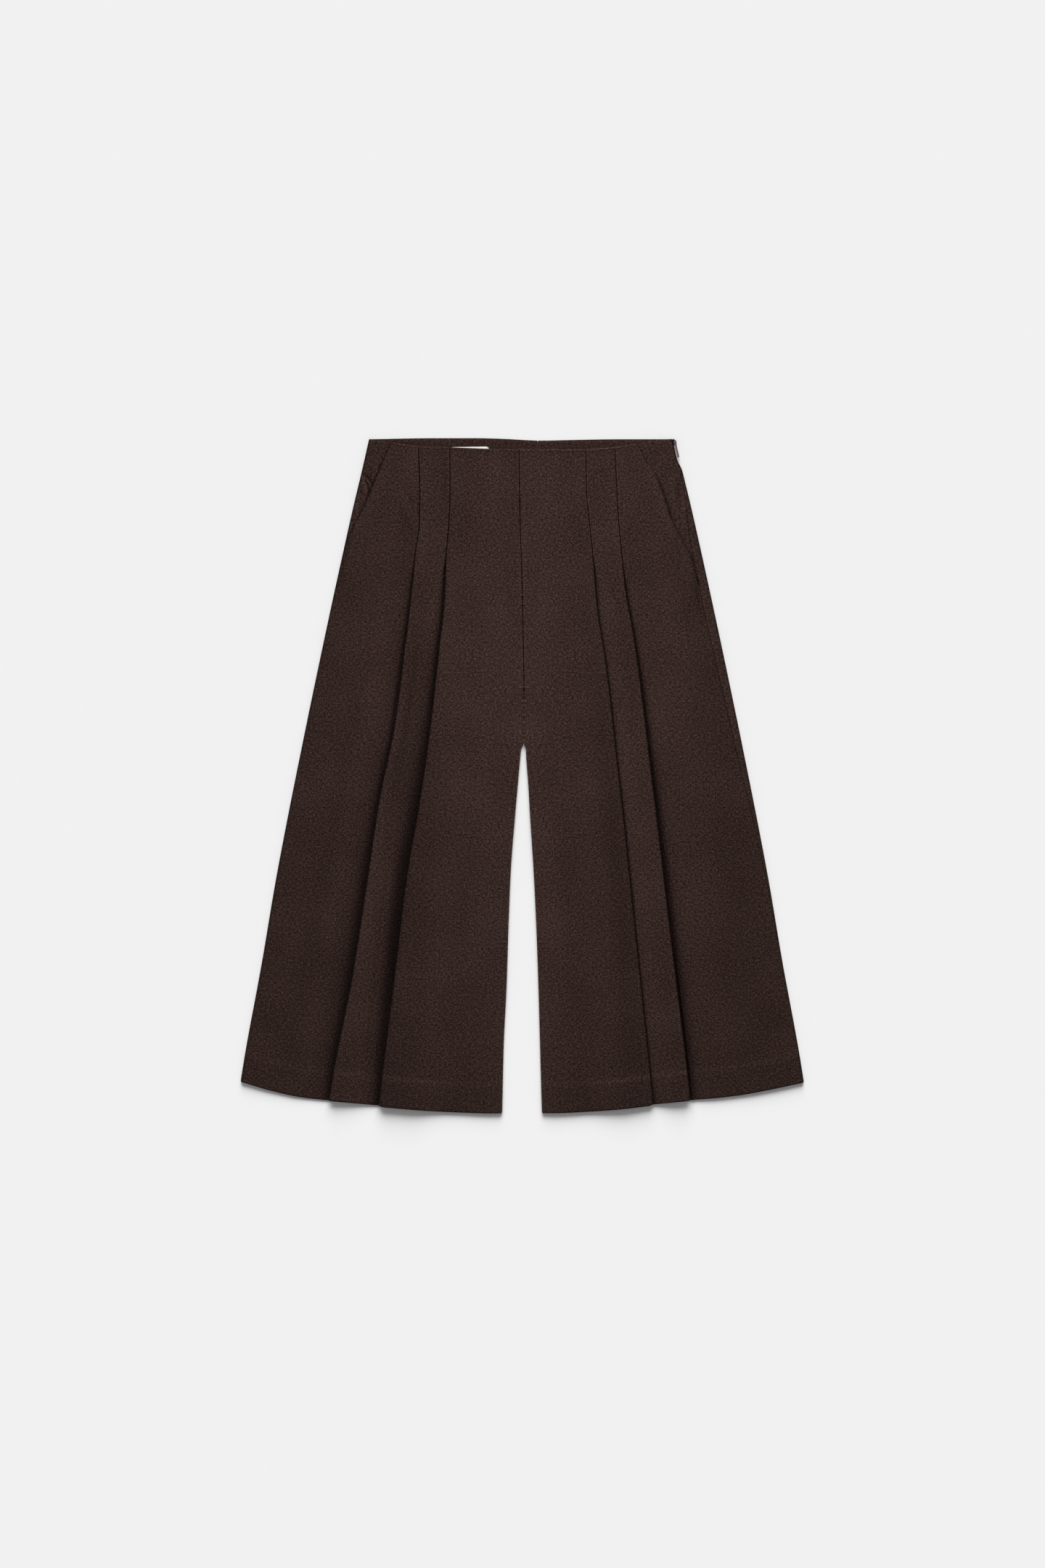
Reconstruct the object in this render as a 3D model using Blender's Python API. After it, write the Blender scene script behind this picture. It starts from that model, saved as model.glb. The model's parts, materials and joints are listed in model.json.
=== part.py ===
"""Pleated bermuda shorts laid flat, front side up.

The waist points to +Y, the wearer's right is at -X, and the surface they lie on is z = 0. Sizes are
written in millimetres and become metres when a mesh is made. Every cloth piece is one wall: for each row
between waist and hem a path gives the middle of the wall across the piece, and the wall is that path with
half the cloth on each side. "below" is a depth under the back waist edge, "out" a distance from the centre
line to the side, "inset" a distance in from the outermost edge, and "row" a share of the way from waist to
hem.
"""

import math
from collections import namedtuple

import bmesh
import bpy
from mathutils import Matrix

MM = 0.001

# ---- cloth and how it lies ----
CLOTH = 1.0  # wall of the wool cloth
HEM_EXTRA = 0.3  # the pressed turn-up makes the wall this much thicker
HEM_START = 0.951  # row at which the turn-up begins
HEM_STEP = 0.003  # rows that the step up to it takes
SEAM_GAP = 0.3  # between the edges of two pieces
LAYER_GAP = 0.35  # between layers that lie on each other
POCKET_GAP = 0.5  # between a pocket facing and the front over it
SIDE_HOLLOW = 2.2  # between front and back at an outer edge, where the seam allowances lie
FLAT_BY_SIDE = {"right": 2.0, "left": 14.0}  # inset up to which the front stays at that height
SIDE_EASE = 55.0  # width over which it then comes down to the back
EDGE_LAST = 2.4  # length of cloth that turns over at an edge
EDGE_DROP = (0.0, 0.03, 0.12)  # how far the last points of an edge sink

# ---- outline ----
Outline = namedtuple("Outline", "below half_width")
OUTLINE = (
    Outline(0, 174.4),
    Outline(30, 181.4),
    Outline(75, 192.3),
    Outline(125, 203.6),
    Outline(200, 220.0),
    Outline(350, 251.4),
    Outline(500, 280.8),
    Outline(600, 297.8),
    Outline(700, 316.3),
    Outline(737, 322.3),
)
ZIP_NOTCH = 3.0  # the left edge is in by this much beside the zip pull
ZIP_NOTCH_END = (23.0, 38.0)  # depths over which it comes out again

# Seams down the middle, as signed places across, and the two inseams under the crotch.
Middle = namedtuple("Middle", "below front back")
MIDDLE = (
    Middle(0, -3.8, 18.0),
    Middle(60, -3.0, 14.5),
    Middle(105, -2.2, 12.0),
    Middle(150, -0.5, 9.5),
    Middle(220, 1.0, 6.0),
    Middle(290, 2.1, 3.0),
    Middle(350, 1.8, 1.8),
)
CROTCH = 350.0
Inseam = namedtuple("Inseam", "below right left")
INSEAM = (
    Inseam(352.5, -1.0, 4.2),
    Inseam(362, -1.9, 4.5),
    Inseam(395, -4.8, 6.9),
    Inseam(430, -7.9, 8.9),
    Inseam(494, -12.9, 13.0),
    Inseam(560, -15.6, 16.2),
    Inseam(627, -17.8, 18.6),
    Inseam(693, -21.0, 20.4),
    Inseam(771, -22.8, 22.6),
)
CROTCH_ROLL = (0.395, 0.445)  # rows over which the middle seams turn into rolled inseams
SEAM_ROLL = 30.0  # degrees that a middle seam's edge turns in

# Waist and hem, by the share of the half width. Depths are measured from the back waist edge.
Waist = namedtuple("Waist", "share right left")
FRONT_WAIST = (
    Waist(0.0, 12.9, 12.9),
    Waist(0.2, 12.6, 13.2),
    Waist(0.38, 11.6, 13.3),
    Waist(0.48, 10.8, 12.4),
    Waist(0.6, 10.0, 10.8),
    Waist(0.68, 9.2, 9.0),
    Waist(0.86, 5.3, 3.7),
    Waist(0.95, 2.8, 1.8),
    Waist(1.0, 1.2, 1.2),
)
BackWaist = namedtuple("BackWaist", "across below")
BACK_WAIST = (
    BackWaist(-174, 1.2),
    BackWaist(-100, 0.0),
    BackWaist(-50, 0.0),
    BackWaist(-16, 1.0),
    BackWaist(20, 2.8),
    BackWaist(58, 2.0),
    BackWaist(110, 1.2),
    BackWaist(174, 1.2),
)
Hem = namedtuple("Hem", "share right left")
HEM = (
    Hem(0.0, 770.3, 770.0),
    Hem(0.1, 770.3, 770.0),
    Hem(0.27, 768.6, 767.6),
    Hem(0.47, 763.6, 761.0),
    Hem(0.6, 759.6, 756.6),
    Hem(0.69, 756.8, 754.2),
    Hem(0.78, 753.6, 750.6),
    Hem(0.88, 746.8, 744.6),
    Hem(1.0, 735.4, 736.4),
)
BACK_HEM_DROP = 1.4  # the back shows this much below the front by the inseam
BACK_HEM_SHARE = 0.24  # share of the half width over which it does
LENGTH = HEM[0].right + BACK_HEM_DROP

# ---- pleats and folds ----
Pleats = namedtuple("Pleats", "below inner outer")
PLEATS = {
    "right": (
        Pleats(10, 82.9, 118.5),
        Pleats(60, 82.4, 117.2),
        Pleats(98, 84.0, 117.6),
        Pleats(134, 86.9, 122.4),
        Pleats(180, 88.4, 126.8),
        Pleats(240, 94.6, 134.2),
        Pleats(330, 104.6, 145.8),
        Pleats(410, 115.8, 162.3),
        Pleats(504, 131.8, 176.6),
        Pleats(616, 145.5, 194.0),
        Pleats(714, 158.0, 213.6),
        Pleats(762, 163.9, 221.8),
    ),
    "left": (
        Pleats(10, 73.0, 105.8),
        Pleats(60, 73.6, 108.4),
        Pleats(90, 76.4, 110.0),
        Pleats(134, 80.9, 114.0),
        Pleats(180, 84.4, 119.0),
        Pleats(215, 88.6, 125.4),
        Pleats(252, 94.8, 131.2),
        Pleats(374, 108.8, 146.2),
        Pleats(435, 115.8, 153.6),
        Pleats(557, 128.4, 168.0),
        Pleats(725, 146.1, 188.7),
        Pleats(762, 150.1, 192.8),
    ),
}
PLEAT_DEPTH = {"inner": (22.0, 28.0), "outer": (15.0, 18.0)}  # cloth hidden under a fold, at waist and hem
INNER_RAMP = 46.0  # width over which the inner panel climbs over the hidden folds
STITCHED = (0.165, 0.225)  # rows over which the pleats, sewn down above, come free
SEWN_RAMP = 4.0  # width in which the cloth beside a sewn fold is level with it
SEWN_EASE = 80.0  # and over which the outer panel comes down again
SEWN_LIFT = 1.9  # layers that the outer panel rises beside a sewn fold
CREST = 0.42  # where the outer panel is highest, as a share of its width
HEM_DROP = {"inner": 1.1, "strip": 0.3}  # folds hang this much lower than the cloth under them

# How high the cloth stands over its flat lie: at each fold, and at the crest of the outer panel.
Crown = namedtuple("Crown", "below inner strip outer")
CROWNS = {
    "right": (
        Crown(0, 0.0, 0.0, 0.0),
        Crown(60, 0.3, 0.2, 0.8),
        Crown(125, 0.8, 0.5, 1.4),
        Crown(200, 4.2, 3.4, 3.0),
        Crown(330, 8.2, 6.8, 4.6),
        Crown(470, 8.8, 7.4, 5.4),
        Crown(620, 8.4, 7.0, 5.4),
        Crown(770, 6.4, 5.4, 4.0),
    ),
    "left": (
        Crown(0, 0.0, 0.0, 0.0),
        Crown(60, 0.3, 0.2, 0.8),
        Crown(125, 0.8, 0.5, 1.6),
        Crown(200, 3.4, 2.6, 2.8),
        Crown(330, 5.8, 4.6, 4.8),
        Crown(470, 6.6, 5.6, 5.8),
        Crown(620, 6.2, 5.2, 5.8),
        Crown(770, 5.0, 4.4, 4.2),
    ),
}
OUTER_RISE = {"right": 1.5, "left": 0.7}  # how slowly the outer panel rises from under its fold

# ---- pockets ----
Mouth = namedtuple("Mouth", "below inset")
MOUTH = {
    "right": (
        Mouth(5, 25.0),
        Mouth(30, 20.2),
        Mouth(51, 17.0),
        Mouth(77, 12.3),
        Mouth(95, 7.4),
        Mouth(113, 2.6),
    ),
    "left": (
        Mouth(8, 39.6),
        Mouth(27, 35.2),
        Mouth(50, 29.8),
        Mouth(72, 27.2),
        Mouth(91, 26.0),
        Mouth(103, 23.0),
        Mouth(122, 17.4),
        Mouth(137, 13.0),
        Mouth(157, 12.2),
    ),
}
MOUTH_END = {"right": 0.152, "left": 0.213}  # row at which the mouth meets the side seam
MOUTH_GAPE = {"right": 0.3, "left": 1.0}  # how far the mouth stands open half way down
MOUTH_TUCK = 0.020  # rows under the mouth over which the facing tucks in under the front
MOUTH_TUCK_INSET = 12.0
MOUTH_CLOSE = 0.024  # rows over which the front then comes down on the back
FACING_UNDERLAP = 20.0  # how far the facing runs on under the front
POCKET_RAMP = 8.0  # width over which the front climbs on to the facing
POCKET_MARGIN = 2.0  # between that ramp and the facing's hidden edge

SideSeam = namedtuple("SideSeam", "below along")
SIDE_SEAM = {  # length of cloth from the outermost edge to the seam, on the front side
    "right": (SideSeam(0, 0.0), SideSeam(771, 0.0)),
    "left": (
        SideSeam(0, 1.1),
        SideSeam(30, 1.4),
        SideSeam(50, 3.0),
        SideSeam(75, 5.3),
        SideSeam(95, 8.0),
        SideSeam(115, 9.9),
        SideSeam(150, 10.3),
        SideSeam(197, 11.5),
        SideSeam(258, 10.5),
        SideSeam(304, 9.1),
        SideSeam(371, 8.0),
        SideSeam(410, 5.6),
        SideSeam(471, 3.9),
        SideSeam(520, 2.4),
        SideSeam(590, 0.9),
        SideSeam(771, 0.0),
    ),
}

# ---- inside of the waist ----
WAIST_FACING_ROW = 0.045  # the facing ends at this row
WAIST_FACING_DOWN = 0.8  # its top edge lies this much under the back's
WAIST_FACING_STEP = (0.047, 0.066)  # rows over which the front comes down off it
WAIST_FACING_SIDE = {"right": 2.8, "left": 5.6}  # inset of its side ends
LABEL = {"width": 44.0, "height": 13.0, "thick": 0.6, "across": -60.6, "below": 15.6, "turn": 0.9}
LABEL_RAMP = 12.0  # width over which the front comes down beside it
LABEL_ROWS = (0.016, 0.034)  # rows over which the front comes down under it

# ---- zip in the left side seam ----
ZIP_ROWS = (0.016, 0.034, 0.047, 0.056, 0.1, 0.13, 0.17, 0.213, 0.245)
ZIP_WIDE = 3.0
ZIP_THICK = 1.2
PIN_BELOW = 5.5  # where the pull's pin is
PIN_TILT = 30.0  # degrees that the slider faces up from the side
SLIDER_LONG = 7.6
SLIDER_WIDE = 3.6
SLIDER_THICK = 1.5
BRIDGE_SPAN = 4.4
BRIDGE_WIDE = 1.2
BRIDGE_BAR = 0.6
BRIDGE_CLEAR = 1.4  # from the slider's face to the bridge
PULL_LONG = 18.2
PULL_THICK = 0.8
PULL_HEAD = 3.6  # width at the pin
PULL_NECK = 2.6
PULL_FOOT = 3.6
CROSSBAR = 0.9  # the part of the pull that turns inside the bridge, across the pin
EYE_WIDE = 2.0  # hole that the bridge passes through
EYE_END = 2.9  # its far end, from the pin

# ---- rows ----
ROWS_BEFORE_MOUTH = (0.0, 0.016, 0.034, 0.047, 0.056, 0.066, 0.1, 0.13)
ROWS_BY_MOUTH = (0.0, 0.01, 0.02, 0.024, 0.046)  # added to the row at which the mouth ends
ROWS_TO_CROTCH = (0.31, 0.365, 0.41, 0.43, 0.4445)
ROWS_TO_HEM = (0.4485, 0.462, 0.5, 0.56, 0.63, 0.7, 0.77, 0.84, 0.9, 0.951, 0.954, 1.0)
EXTRA_ROWS = {"right": (0.25,), "left": (0.17,)}

# ---- finishes: colour, roughness, metallic ----
Finish = namedtuple("Finish", "colour roughness metallic")
FINISHES = {
    "wool_cloth": Finish((0.040, 0.024, 0.020), 0.85, 0.0),
    "facing_cloth": Finish((0.030, 0.019, 0.016), 0.8, 0.0),
    "label_satin": Finish((0.78, 0.76, 0.73), 0.45, 0.0),
    "zip_tape": Finish((0.018, 0.012, 0.010), 0.7, 0.0),
    "zip_enamel": Finish((0.02, 0.014, 0.012), 0.35, 0.4),
    "pull_metal": Finish((0.16, 0.13, 0.11), 0.35, 0.8),
}


def clamp(value, low=0.0, high=1.0):
    return max(low, min(high, value))


def smooth(value, start=0.0, end=1.0):
    """0 before start, 1 after end, and an even curve between."""
    share = clamp((value - start) / (end - start))
    return share * share * (3.0 - 2.0 * share)


def curve(rows, key, column, place):
    """Value of a column at a place, on a curve through the rows that never overshoots them."""
    at = [getattr(row, key) for row in rows]
    value = [getattr(row, column) for row in rows]
    place = clamp(place, at[0], at[-1])
    slopes = [(value[i + 1] - value[i]) / (at[i + 1] - at[i]) for i in range(len(at) - 1)]
    tangents = [slopes[0]]
    for before, after in zip(slopes, slopes[1:]):
        tangents.append(0.0 if before * after <= 0 else 2.0 * before * after / (before + after))
    tangents.append(slopes[-1])
    i = max(k for k in range(len(at) - 1) if at[k] <= place)
    span = at[i + 1] - at[i]
    share = (place - at[i]) / span
    bend = (1.0 - share) * (tangents[i] - slopes[i]) - share * (tangents[i + 1] - slopes[i])
    return value[i] + span * share * (slopes[i] + (1.0 - share) * bend)


# ---- the lie of the garment ----
def half_width(side, row):
    """Distance from the centre line to the outermost edge at a row."""
    below = (1.0 - row) * FRONT_WAIST[-1].right + row * getattr(HEM[-1], side)
    notch = ZIP_NOTCH * (1.0 - smooth(below, *ZIP_NOTCH_END)) if side == "left" else 0.0
    return curve(OUTLINE, "below", "half_width", below) - notch


def front_below(side, out, row):
    """Depth of a place on the front layers."""
    share = clamp(out / half_width(side, row))
    waist = curve(FRONT_WAIST, "share", side, share)
    return (1.0 - row) * waist + row * curve(HEM, "share", side, share)


def back_below(side, out, row):
    """Depth of a place on the back layers."""
    share = clamp(out / half_width(side, row))
    waist = curve(BACK_WAIST, "across", "below", across(side, out))
    hem = curve(HEM, "share", side, share) + BACK_HEM_DROP * (1.0 - smooth(share, 0.1, BACK_HEM_SHARE))
    return (1.0 - row) * waist + row * hem


def across(side, out):
    return -out if side == "right" else out


def out_of(side, place):
    return -place if side == "right" else place


def on_row(side, row, line, below_of):
    """Distance out at which a line, given by depth, crosses a row."""
    out = 100.0
    for _ in range(8):
        out = line(below_of(side, out, row))
    return out


def inner_edge(side, layer, below):
    """The edge of a piece by the middle seam or the inseam."""
    if below < CROTCH:
        return out_of(side, curve(MIDDLE, "below", layer, below)) + SEAM_GAP / 2
    if below < INSEAM[0].below:
        top = out_of(side, MIDDLE[-1].front) + SEAM_GAP / 2
        return top + (out_of(side, getattr(INSEAM[0], side)) - top) * smooth(below, CROTCH, INSEAM[0].below)
    return out_of(side, curve(INSEAM, "below", side, below))


class Row:
    """What the paths need to know about one row of one side."""

    def __init__(self, side, row):
        self.side = side
        self.row = row
        self.cloth = CLOTH + HEM_EXTRA * smooth(row, HEM_START, HEM_START + HEM_STEP)
        self.pitch = self.cloth + LAYER_GAP
        self.half_width = half_width(side, row)
        self.radius = (self.cloth + SIDE_HOLLOW) / 2
        self.quarter = math.pi / 2 * self.radius
        self.base = self.pitch + self.pitch * (1.0 - smooth(row, *WAIST_FACING_STEP))
        self.leg = smooth(row, *CROTCH_ROLL)
        self.side_below = front_below(side, self.half_width, row)
        self.seam = curve(SIDE_SEAM[side], "below", "along", self.side_below)
        self.tuck = smooth(row, MOUTH_END[side], MOUTH_END[side] + MOUTH_TUCK)
        close = MOUTH_END[side] + ROWS_BY_MOUTH[3]
        self.pocket = 1.0 - smooth(row, close, close + MOUTH_CLOSE)
        self.sewn = 1.0 - smooth(row, *STITCHED)
        self.depth = {name: waist + (hem - waist) * row for name, (waist, hem) in PLEAT_DEPTH.items()}
        self.folds = {name: self.fold(name) for name in PLEAT_DEPTH}
        self.crowns = {}
        for name, fold in (("inner", "inner"), ("strip", "outer"), ("outer", "outer")):
            below = front_below(side, self.folds[fold], row)
            self.crowns[name] = curve(CROWNS[side], "below", name, below)

    def crossing(self, line, below_of=front_below):
        return on_row(self.side, self.row, line, below_of)

    def inner(self, layer, below_of):
        return self.crossing(lambda below: inner_edge(self.side, layer, below), below_of)

    def fold(self, column):
        return self.crossing(lambda below: curve(PLEATS[self.side], "below", column, below))

    def mouth_inset(self):
        """Inset of the front's own side edge: the pocket mouth, or the side seam under it."""
        rows = MOUTH[self.side]
        reach = self.half_width
        out = self.crossing(lambda below: reach - curve(rows, "below", "inset", below))
        return reach - out

    def ground(self, out, edge=0.0):
        """Height of the underside of one layer of front, on whatever lies under it."""
        height = self.base
        top = self.cloth + SIDE_HOLLOW
        flat = self.half_width - FLAT_BY_SIDE[self.side] - self.cloth / 2
        height += (top - self.base) * smooth(out, flat - SIDE_EASE, flat)
        height += (top - self.base) * self.leg * (1.0 - smooth(out, edge, edge + SIDE_EASE))
        return height + self.over_label(out)

    def over_label(self, out):
        """Lift of the front over the label inside the waist."""
        middle = out_of(self.side, LABEL["across"])
        reach = LABEL["width"] / 2 + 1.0
        beside = smooth(abs(out - middle), reach, reach + LABEL_RAMP)
        under = smooth(self.row, *LABEL_ROWS)
        return (LABEL["thick"] + LAYER_GAP) * (1.0 - beside) * (1.0 - under)

    def inner_crown(self, out, edge):
        """How far the inner panel stands up, from nothing at its seam to the most at its fold."""
        share = clamp((out - edge) / (self.folds["inner"] - edge))
        return self.crowns["inner"] * math.sin(math.pi / 2 * share)

    def strip_crown(self, out):
        root, fold = self.folds["inner"], self.folds["outer"]
        share = clamp((out - root) / (fold - root))
        return self.crowns["strip"] * (1.0 - math.cos(math.pi / 2 * share**1.3))

    def outer_crown(self, out):
        """How far the outer panel stands up, with its start level with the fold where that is sewn down."""
        root = self.folds["outer"]
        level = smooth(out, root + 0.5, root + SEWN_RAMP)
        level *= 1.0 - smooth(out, root + SEWN_RAMP, root + SEWN_EASE)
        height = SEWN_LIFT * self.pitch * level * self.sewn
        crest = root + CREST * (self.half_width - root)
        if out < crest:
            share = clamp((out - root) / (crest - root))
            return height + self.crowns["outer"] * smooth(share ** OUTER_RISE[self.side])
        return height + self.crowns["outer"] * (1.0 - smooth(out, crest, self.half_width - 4.0))

    def round_side(self, along, lift=0.0, drop=0.0):
        """A point at a length of cloth from the outermost edge: positive over it, negative under it."""
        centre = self.half_width - self.cloth / 2 - self.radius
        if along >= self.quarter:
            out = centre - (along - self.quarter)
            return out, self.ground(out) + self.cloth / 2 + lift - drop
        if along <= -self.quarter:
            return centre + (along + self.quarter), self.cloth / 2
        angle = along / self.radius
        reach = self.radius + lift - drop
        return centre + reach * math.cos(angle), self.cloth / 2 + self.radius + reach * math.sin(angle)

    def along_of_inset(self, inset):
        return inset - self.cloth / 2 - self.radius + self.quarter


# ---- paths across a row: lists of (out, height) for the middle of the wall ----
def spread(start, end, count):
    """Evenly spaced values after start, up to end."""
    return [start + (end - start) * (k + 1) / count for k in range(count)]


def turn(out, top, pitch, way):
    """Half turn down from a layer to the one under it, bulging to the side that way says."""
    points = []
    bulge = pitch / 2
    for degrees in (90, 30, -30, -90):
        angle = math.radians(degrees)
        points.append((out + way * bulge * math.cos(angle), top - bulge + bulge * math.sin(angle)))
    return points


def pleat(row, name, crown):
    """From the top of a fold, back under it, and out again at the level of the cloth under it."""
    reach = (row.pitch + row.cloth) / 2
    outer = row.folds[name] - reach
    inner = row.folds[name] - row.depth[name] + reach
    outer_low = row.ground(outer) + row.cloth / 2 + crown
    inner_low = row.ground(inner) + row.cloth / 2
    over = turn(outer, outer_low + 2 * row.pitch, row.pitch, 1)
    return over + turn(inner, inner_low + row.pitch, row.pitch, -1)


def front_path(row):
    inner_fold = row.folds["inner"]
    outer_fold = row.folds["outer"]
    half = row.cloth / 2
    reach = (row.pitch + row.cloth) / 2
    sweep = math.radians(SEAM_ROLL + (90.0 - SEAM_ROLL) * row.leg) - row.leg * SEAM_GAP / 2 / row.radius
    edge = row.inner("front", front_below)
    start = edge + (row.radius + half) * math.sin(sweep)
    top = row.ground(start, start) + half
    points = []
    for share in (1.0, 2 / 3, 1 / 3):
        angle = sweep * share
        points.append((start - row.radius * math.sin(angle), top - row.radius * (1.0 - math.cos(angle))))

    climb_end = inner_fold - row.depth["inner"] - 2.0
    climb = climb_end - INNER_RAMP
    for out in [start] + spread(start, inner_fold - reach, 9)[:-1]:
        up = 2 * row.pitch * smooth(out, climb, climb_end)
        points.append((out, row.ground(out, start) + half + up + row.inner_crown(out, start)))
    points += pleat(row, "inner", row.inner_crown(inner_fold - reach, start))

    climb = inner_fold + 0.8
    free_end = outer_fold - row.depth["outer"] - 1.0
    climb_end = free_end + (climb + SEWN_RAMP - free_end) * row.sewn
    outs = [inner_fold + 0.6] + spread(climb, climb_end, 3) + spread(climb_end, outer_fold - reach, 4)[:-1]
    for out in outs:
        up = 2 * row.pitch * smooth(out, climb, climb_end)
        points.append((out, row.ground(out) + half + up + row.strip_crown(out)))
    points += pleat(row, "outer", row.strip_crown(outer_fold - reach))
    return points + front_side(row, outer_fold)


def front_side(row, outer_fold):
    """The outer panel, over the pocket facing, to its own side edge."""
    seam = row.seam + SEAM_GAP / 2
    mouth = row.along_of_inset(row.mouth_inset())
    end = seam + (mouth - seam) * (1.0 - row.tuck)
    end_out = row.half_width - row.mouth_inset()
    ramp = max(outer_fold + 1.0, end_out - FACING_UNDERLAP - POCKET_MARGIN - POCKET_RAMP)
    gape = MOUTH_GAPE[row.side] * math.sin(math.pi * clamp(row.row / MOUTH_END[row.side]))

    def lift(out, along):
        on_facing = smooth(out, ramp, ramp + POCKET_RAMP) * row.pocket
        at_edge = smooth(along, row.seam + 3.0, row.seam + 7.0)
        return (row.cloth + POCKET_GAP) * on_facing * (1.0 - row.tuck * (1.0 - at_edge))

    last = row.round_side(end + EDGE_LAST)[0]
    outs = [outer_fold + 0.6] + spread(outer_fold + 0.6, ramp, 4)
    outs += spread(ramp, ramp + POCKET_RAMP, 2) + spread(ramp + POCKET_RAMP, last, 4)
    points = []
    for out in outs:
        along = row.along_of_inset(row.half_width - out)
        open_up = gape * smooth(out, last - 10.0, last)
        height = row.ground(out) + row.cloth / 2 + lift(out, along) + open_up
        points.append((out, height + row.outer_crown(out)))
    for share, drop in zip((2 / 3, 1 / 3, 0.0), EDGE_DROP):
        along = end + EDGE_LAST * share
        out = row.round_side(along)[0]
        up = lift(out, along) + gape + row.outer_crown(out)
        points.append(row.round_side(along, up, drop * on_top(row, end)))
    return points


def on_top(row, end):
    """1 where an edge lies on top, 0 where it lies round the outermost edge and can't sink."""
    return smooth(end, 0.5, row.quarter + 1.0)


def back_path(row):
    half = row.cloth / 2
    sweep = math.radians(20.0 + 70.0 * row.leg) - row.leg * SEAM_GAP / 2 / row.radius
    start = row.inner("back", back_below) + (row.radius + half) * math.sin(sweep)
    points = []
    for share in (1.0, 2 / 3, 1 / 3, 0.0):
        angle = sweep * share
        points.append((start - row.radius * math.sin(angle), half + row.radius * (1.0 - math.cos(angle))))
    under = row.round_side(-row.quarter)[0]
    points += [(out, half) for out in spread(start, under, 4)]
    end = row.seam - SEAM_GAP / 2
    if row.side == "right":
        alongs = spread(-row.quarter, end, 3)
    else:
        split = clamp(end - EDGE_LAST, -row.quarter / 2, row.quarter)
        alongs = spread(-row.quarter, split, 5) + spread(split, end, 4)
    drops = [0.0] * (len(alongs) - 2) + [EDGE_DROP[1], EDGE_DROP[2]]
    for along, drop in zip(alongs, drops):
        points.append(row.round_side(along, 0.0, drop * on_top(row, end)))
    return points


def pocket_facing_path(row):
    end = row.seam + SEAM_GAP / 2 + MOUTH_TUCK_INSET * row.tuck
    hidden = row.half_width - row.mouth_inset() - FACING_UNDERLAP
    last = row.round_side(end + EDGE_LAST)[0]
    outs = [hidden] + spread(hidden, last, 5)
    points = [(out, row.ground(out) + row.cloth / 2 + row.outer_crown(out)) for out in outs]
    for share, drop in zip((2 / 3, 1 / 3, 0.0), EDGE_DROP):
        along = end + EDGE_LAST * share
        up = row.outer_crown(row.round_side(along)[0])
        points.append(row.round_side(along, up, drop * on_top(row, end)))
    return points


# ---- walls ----
def directions(path):
    """Which way the path runs at each point. At an end it goes on turning as it did before it."""
    chords = [math.atan2(b[1] - a[1], b[0] - a[0]) for a, b in zip(path, path[1:])]
    turns = [math.remainder(after - before, math.tau) for before, after in zip(chords, chords[1:])]
    ways = [(chords[0] - turns[0] / 2, 0.0)]
    ways += [(chord + turn / 2, turn / 2) for chord, turn in zip(chords, turns)]
    return ways + [(chords[-1] + turns[-1] / 2, 0.0)]


def sides_of(path, thickness):
    """The two faces of a wall of even thickness whose middle is the path."""
    outer, inner = [], []
    for (out, height), (way, half_turn) in zip(path, directions(path)):
        offset = thickness / 2 / math.cos(half_turn)
        outer.append((out - math.sin(way) * offset, height + math.cos(way) * offset))
        inner.append((out + math.sin(way) * offset, height - math.cos(way) * offset))
    return outer, inner


def hang(row, out):
    """Extra depth of the folds over the cloth under them, near the hem."""
    near_hem = smooth(row.row, 0.8, 1.0)
    inner = HEM_DROP["inner"] * (1.0 - smooth(out, row.folds["inner"] - 6.0, row.folds["inner"]))
    strip = HEM_DROP["strip"] * (1.0 - smooth(out, row.folds["outer"] - 6.0, row.folds["outer"]))
    return (inner + strip) * near_hem


def mesh_of(name, points, faces):
    """A closed mesh from points in millimetres, with its faces turned out."""
    mesh = bpy.data.meshes.new(name)
    mesh.from_pydata([[value * MM for value in point] for point in points], [], faces)
    work = bmesh.new()
    work.from_mesh(mesh)
    bmesh.ops.recalc_face_normals(work, faces=work.faces)
    work.to_mesh(mesh)
    work.free()
    return mesh


def bridged(name, rings):
    """A solid through rings of equal length, each the wall's outer face and then its inner face, back."""
    count = len(rings[0])
    faces = []
    for k in range(len(rings) - 1):
        for i in range(count):
            j = (i + 1) % count
            faces.append((k * count + i, k * count + j, (k + 1) * count + j, (k + 1) * count + i))
    for k in (0, len(rings) - 1):
        for i in range(count // 2 - 1):
            far = (k + 1) * count - 1 - i
            faces.append((k * count + i, k * count + i + 1, far - 1, far))
    return mesh_of(name, [point for ring in rings for point in ring], faces)


def placed(side, out, below, height):
    return across(side, out), LENGTH / 2 - below, height


def wall(name, side, rows, path_of, below_of, extra=None):
    """One cloth piece, as a wall through its rows."""
    rings = []
    for share in rows:
        row = Row(side, share)
        outer, inner = sides_of(path_of(row), row.cloth)
        ring = []
        for out, height in outer + inner[::-1]:
            below = below_of(side, out, share) + (extra(row, out) if extra else 0.0)
            ring.append(placed(side, out, below, height))
        rings.append(ring)
    return bridged(name, rings)


def side_rows(side):
    mouth = [MOUTH_END[side] + step for step in ROWS_BY_MOUTH]
    return sorted(ROWS_BEFORE_MOUTH + tuple(mouth) + EXTRA_ROWS[side] + ROWS_TO_CROTCH + ROWS_TO_HEM)


def waist_facing(name, side):
    """Half of the band inside the back waist, flat on the back."""
    row = Row(side, 0.0)
    low = row.pitch
    seam = out_of(side, MIDDLE[0].back) + SEAM_GAP / 2
    end = row.half_width - WAIST_FACING_SIDE[side]
    rings = []
    for out in [seam] + spread(seam, end, 14):
        top = back_below(side, out, 0.0) + WAIST_FACING_DOWN
        foot = front_below(side, out, WAIST_FACING_ROW)
        corners = ((top, low + CLOTH), (foot, low + CLOTH), (foot, low), (top, low))
        rings.append([placed(side, out, below, height) for below, height in corners])
    return bridged(name, rings)


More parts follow.
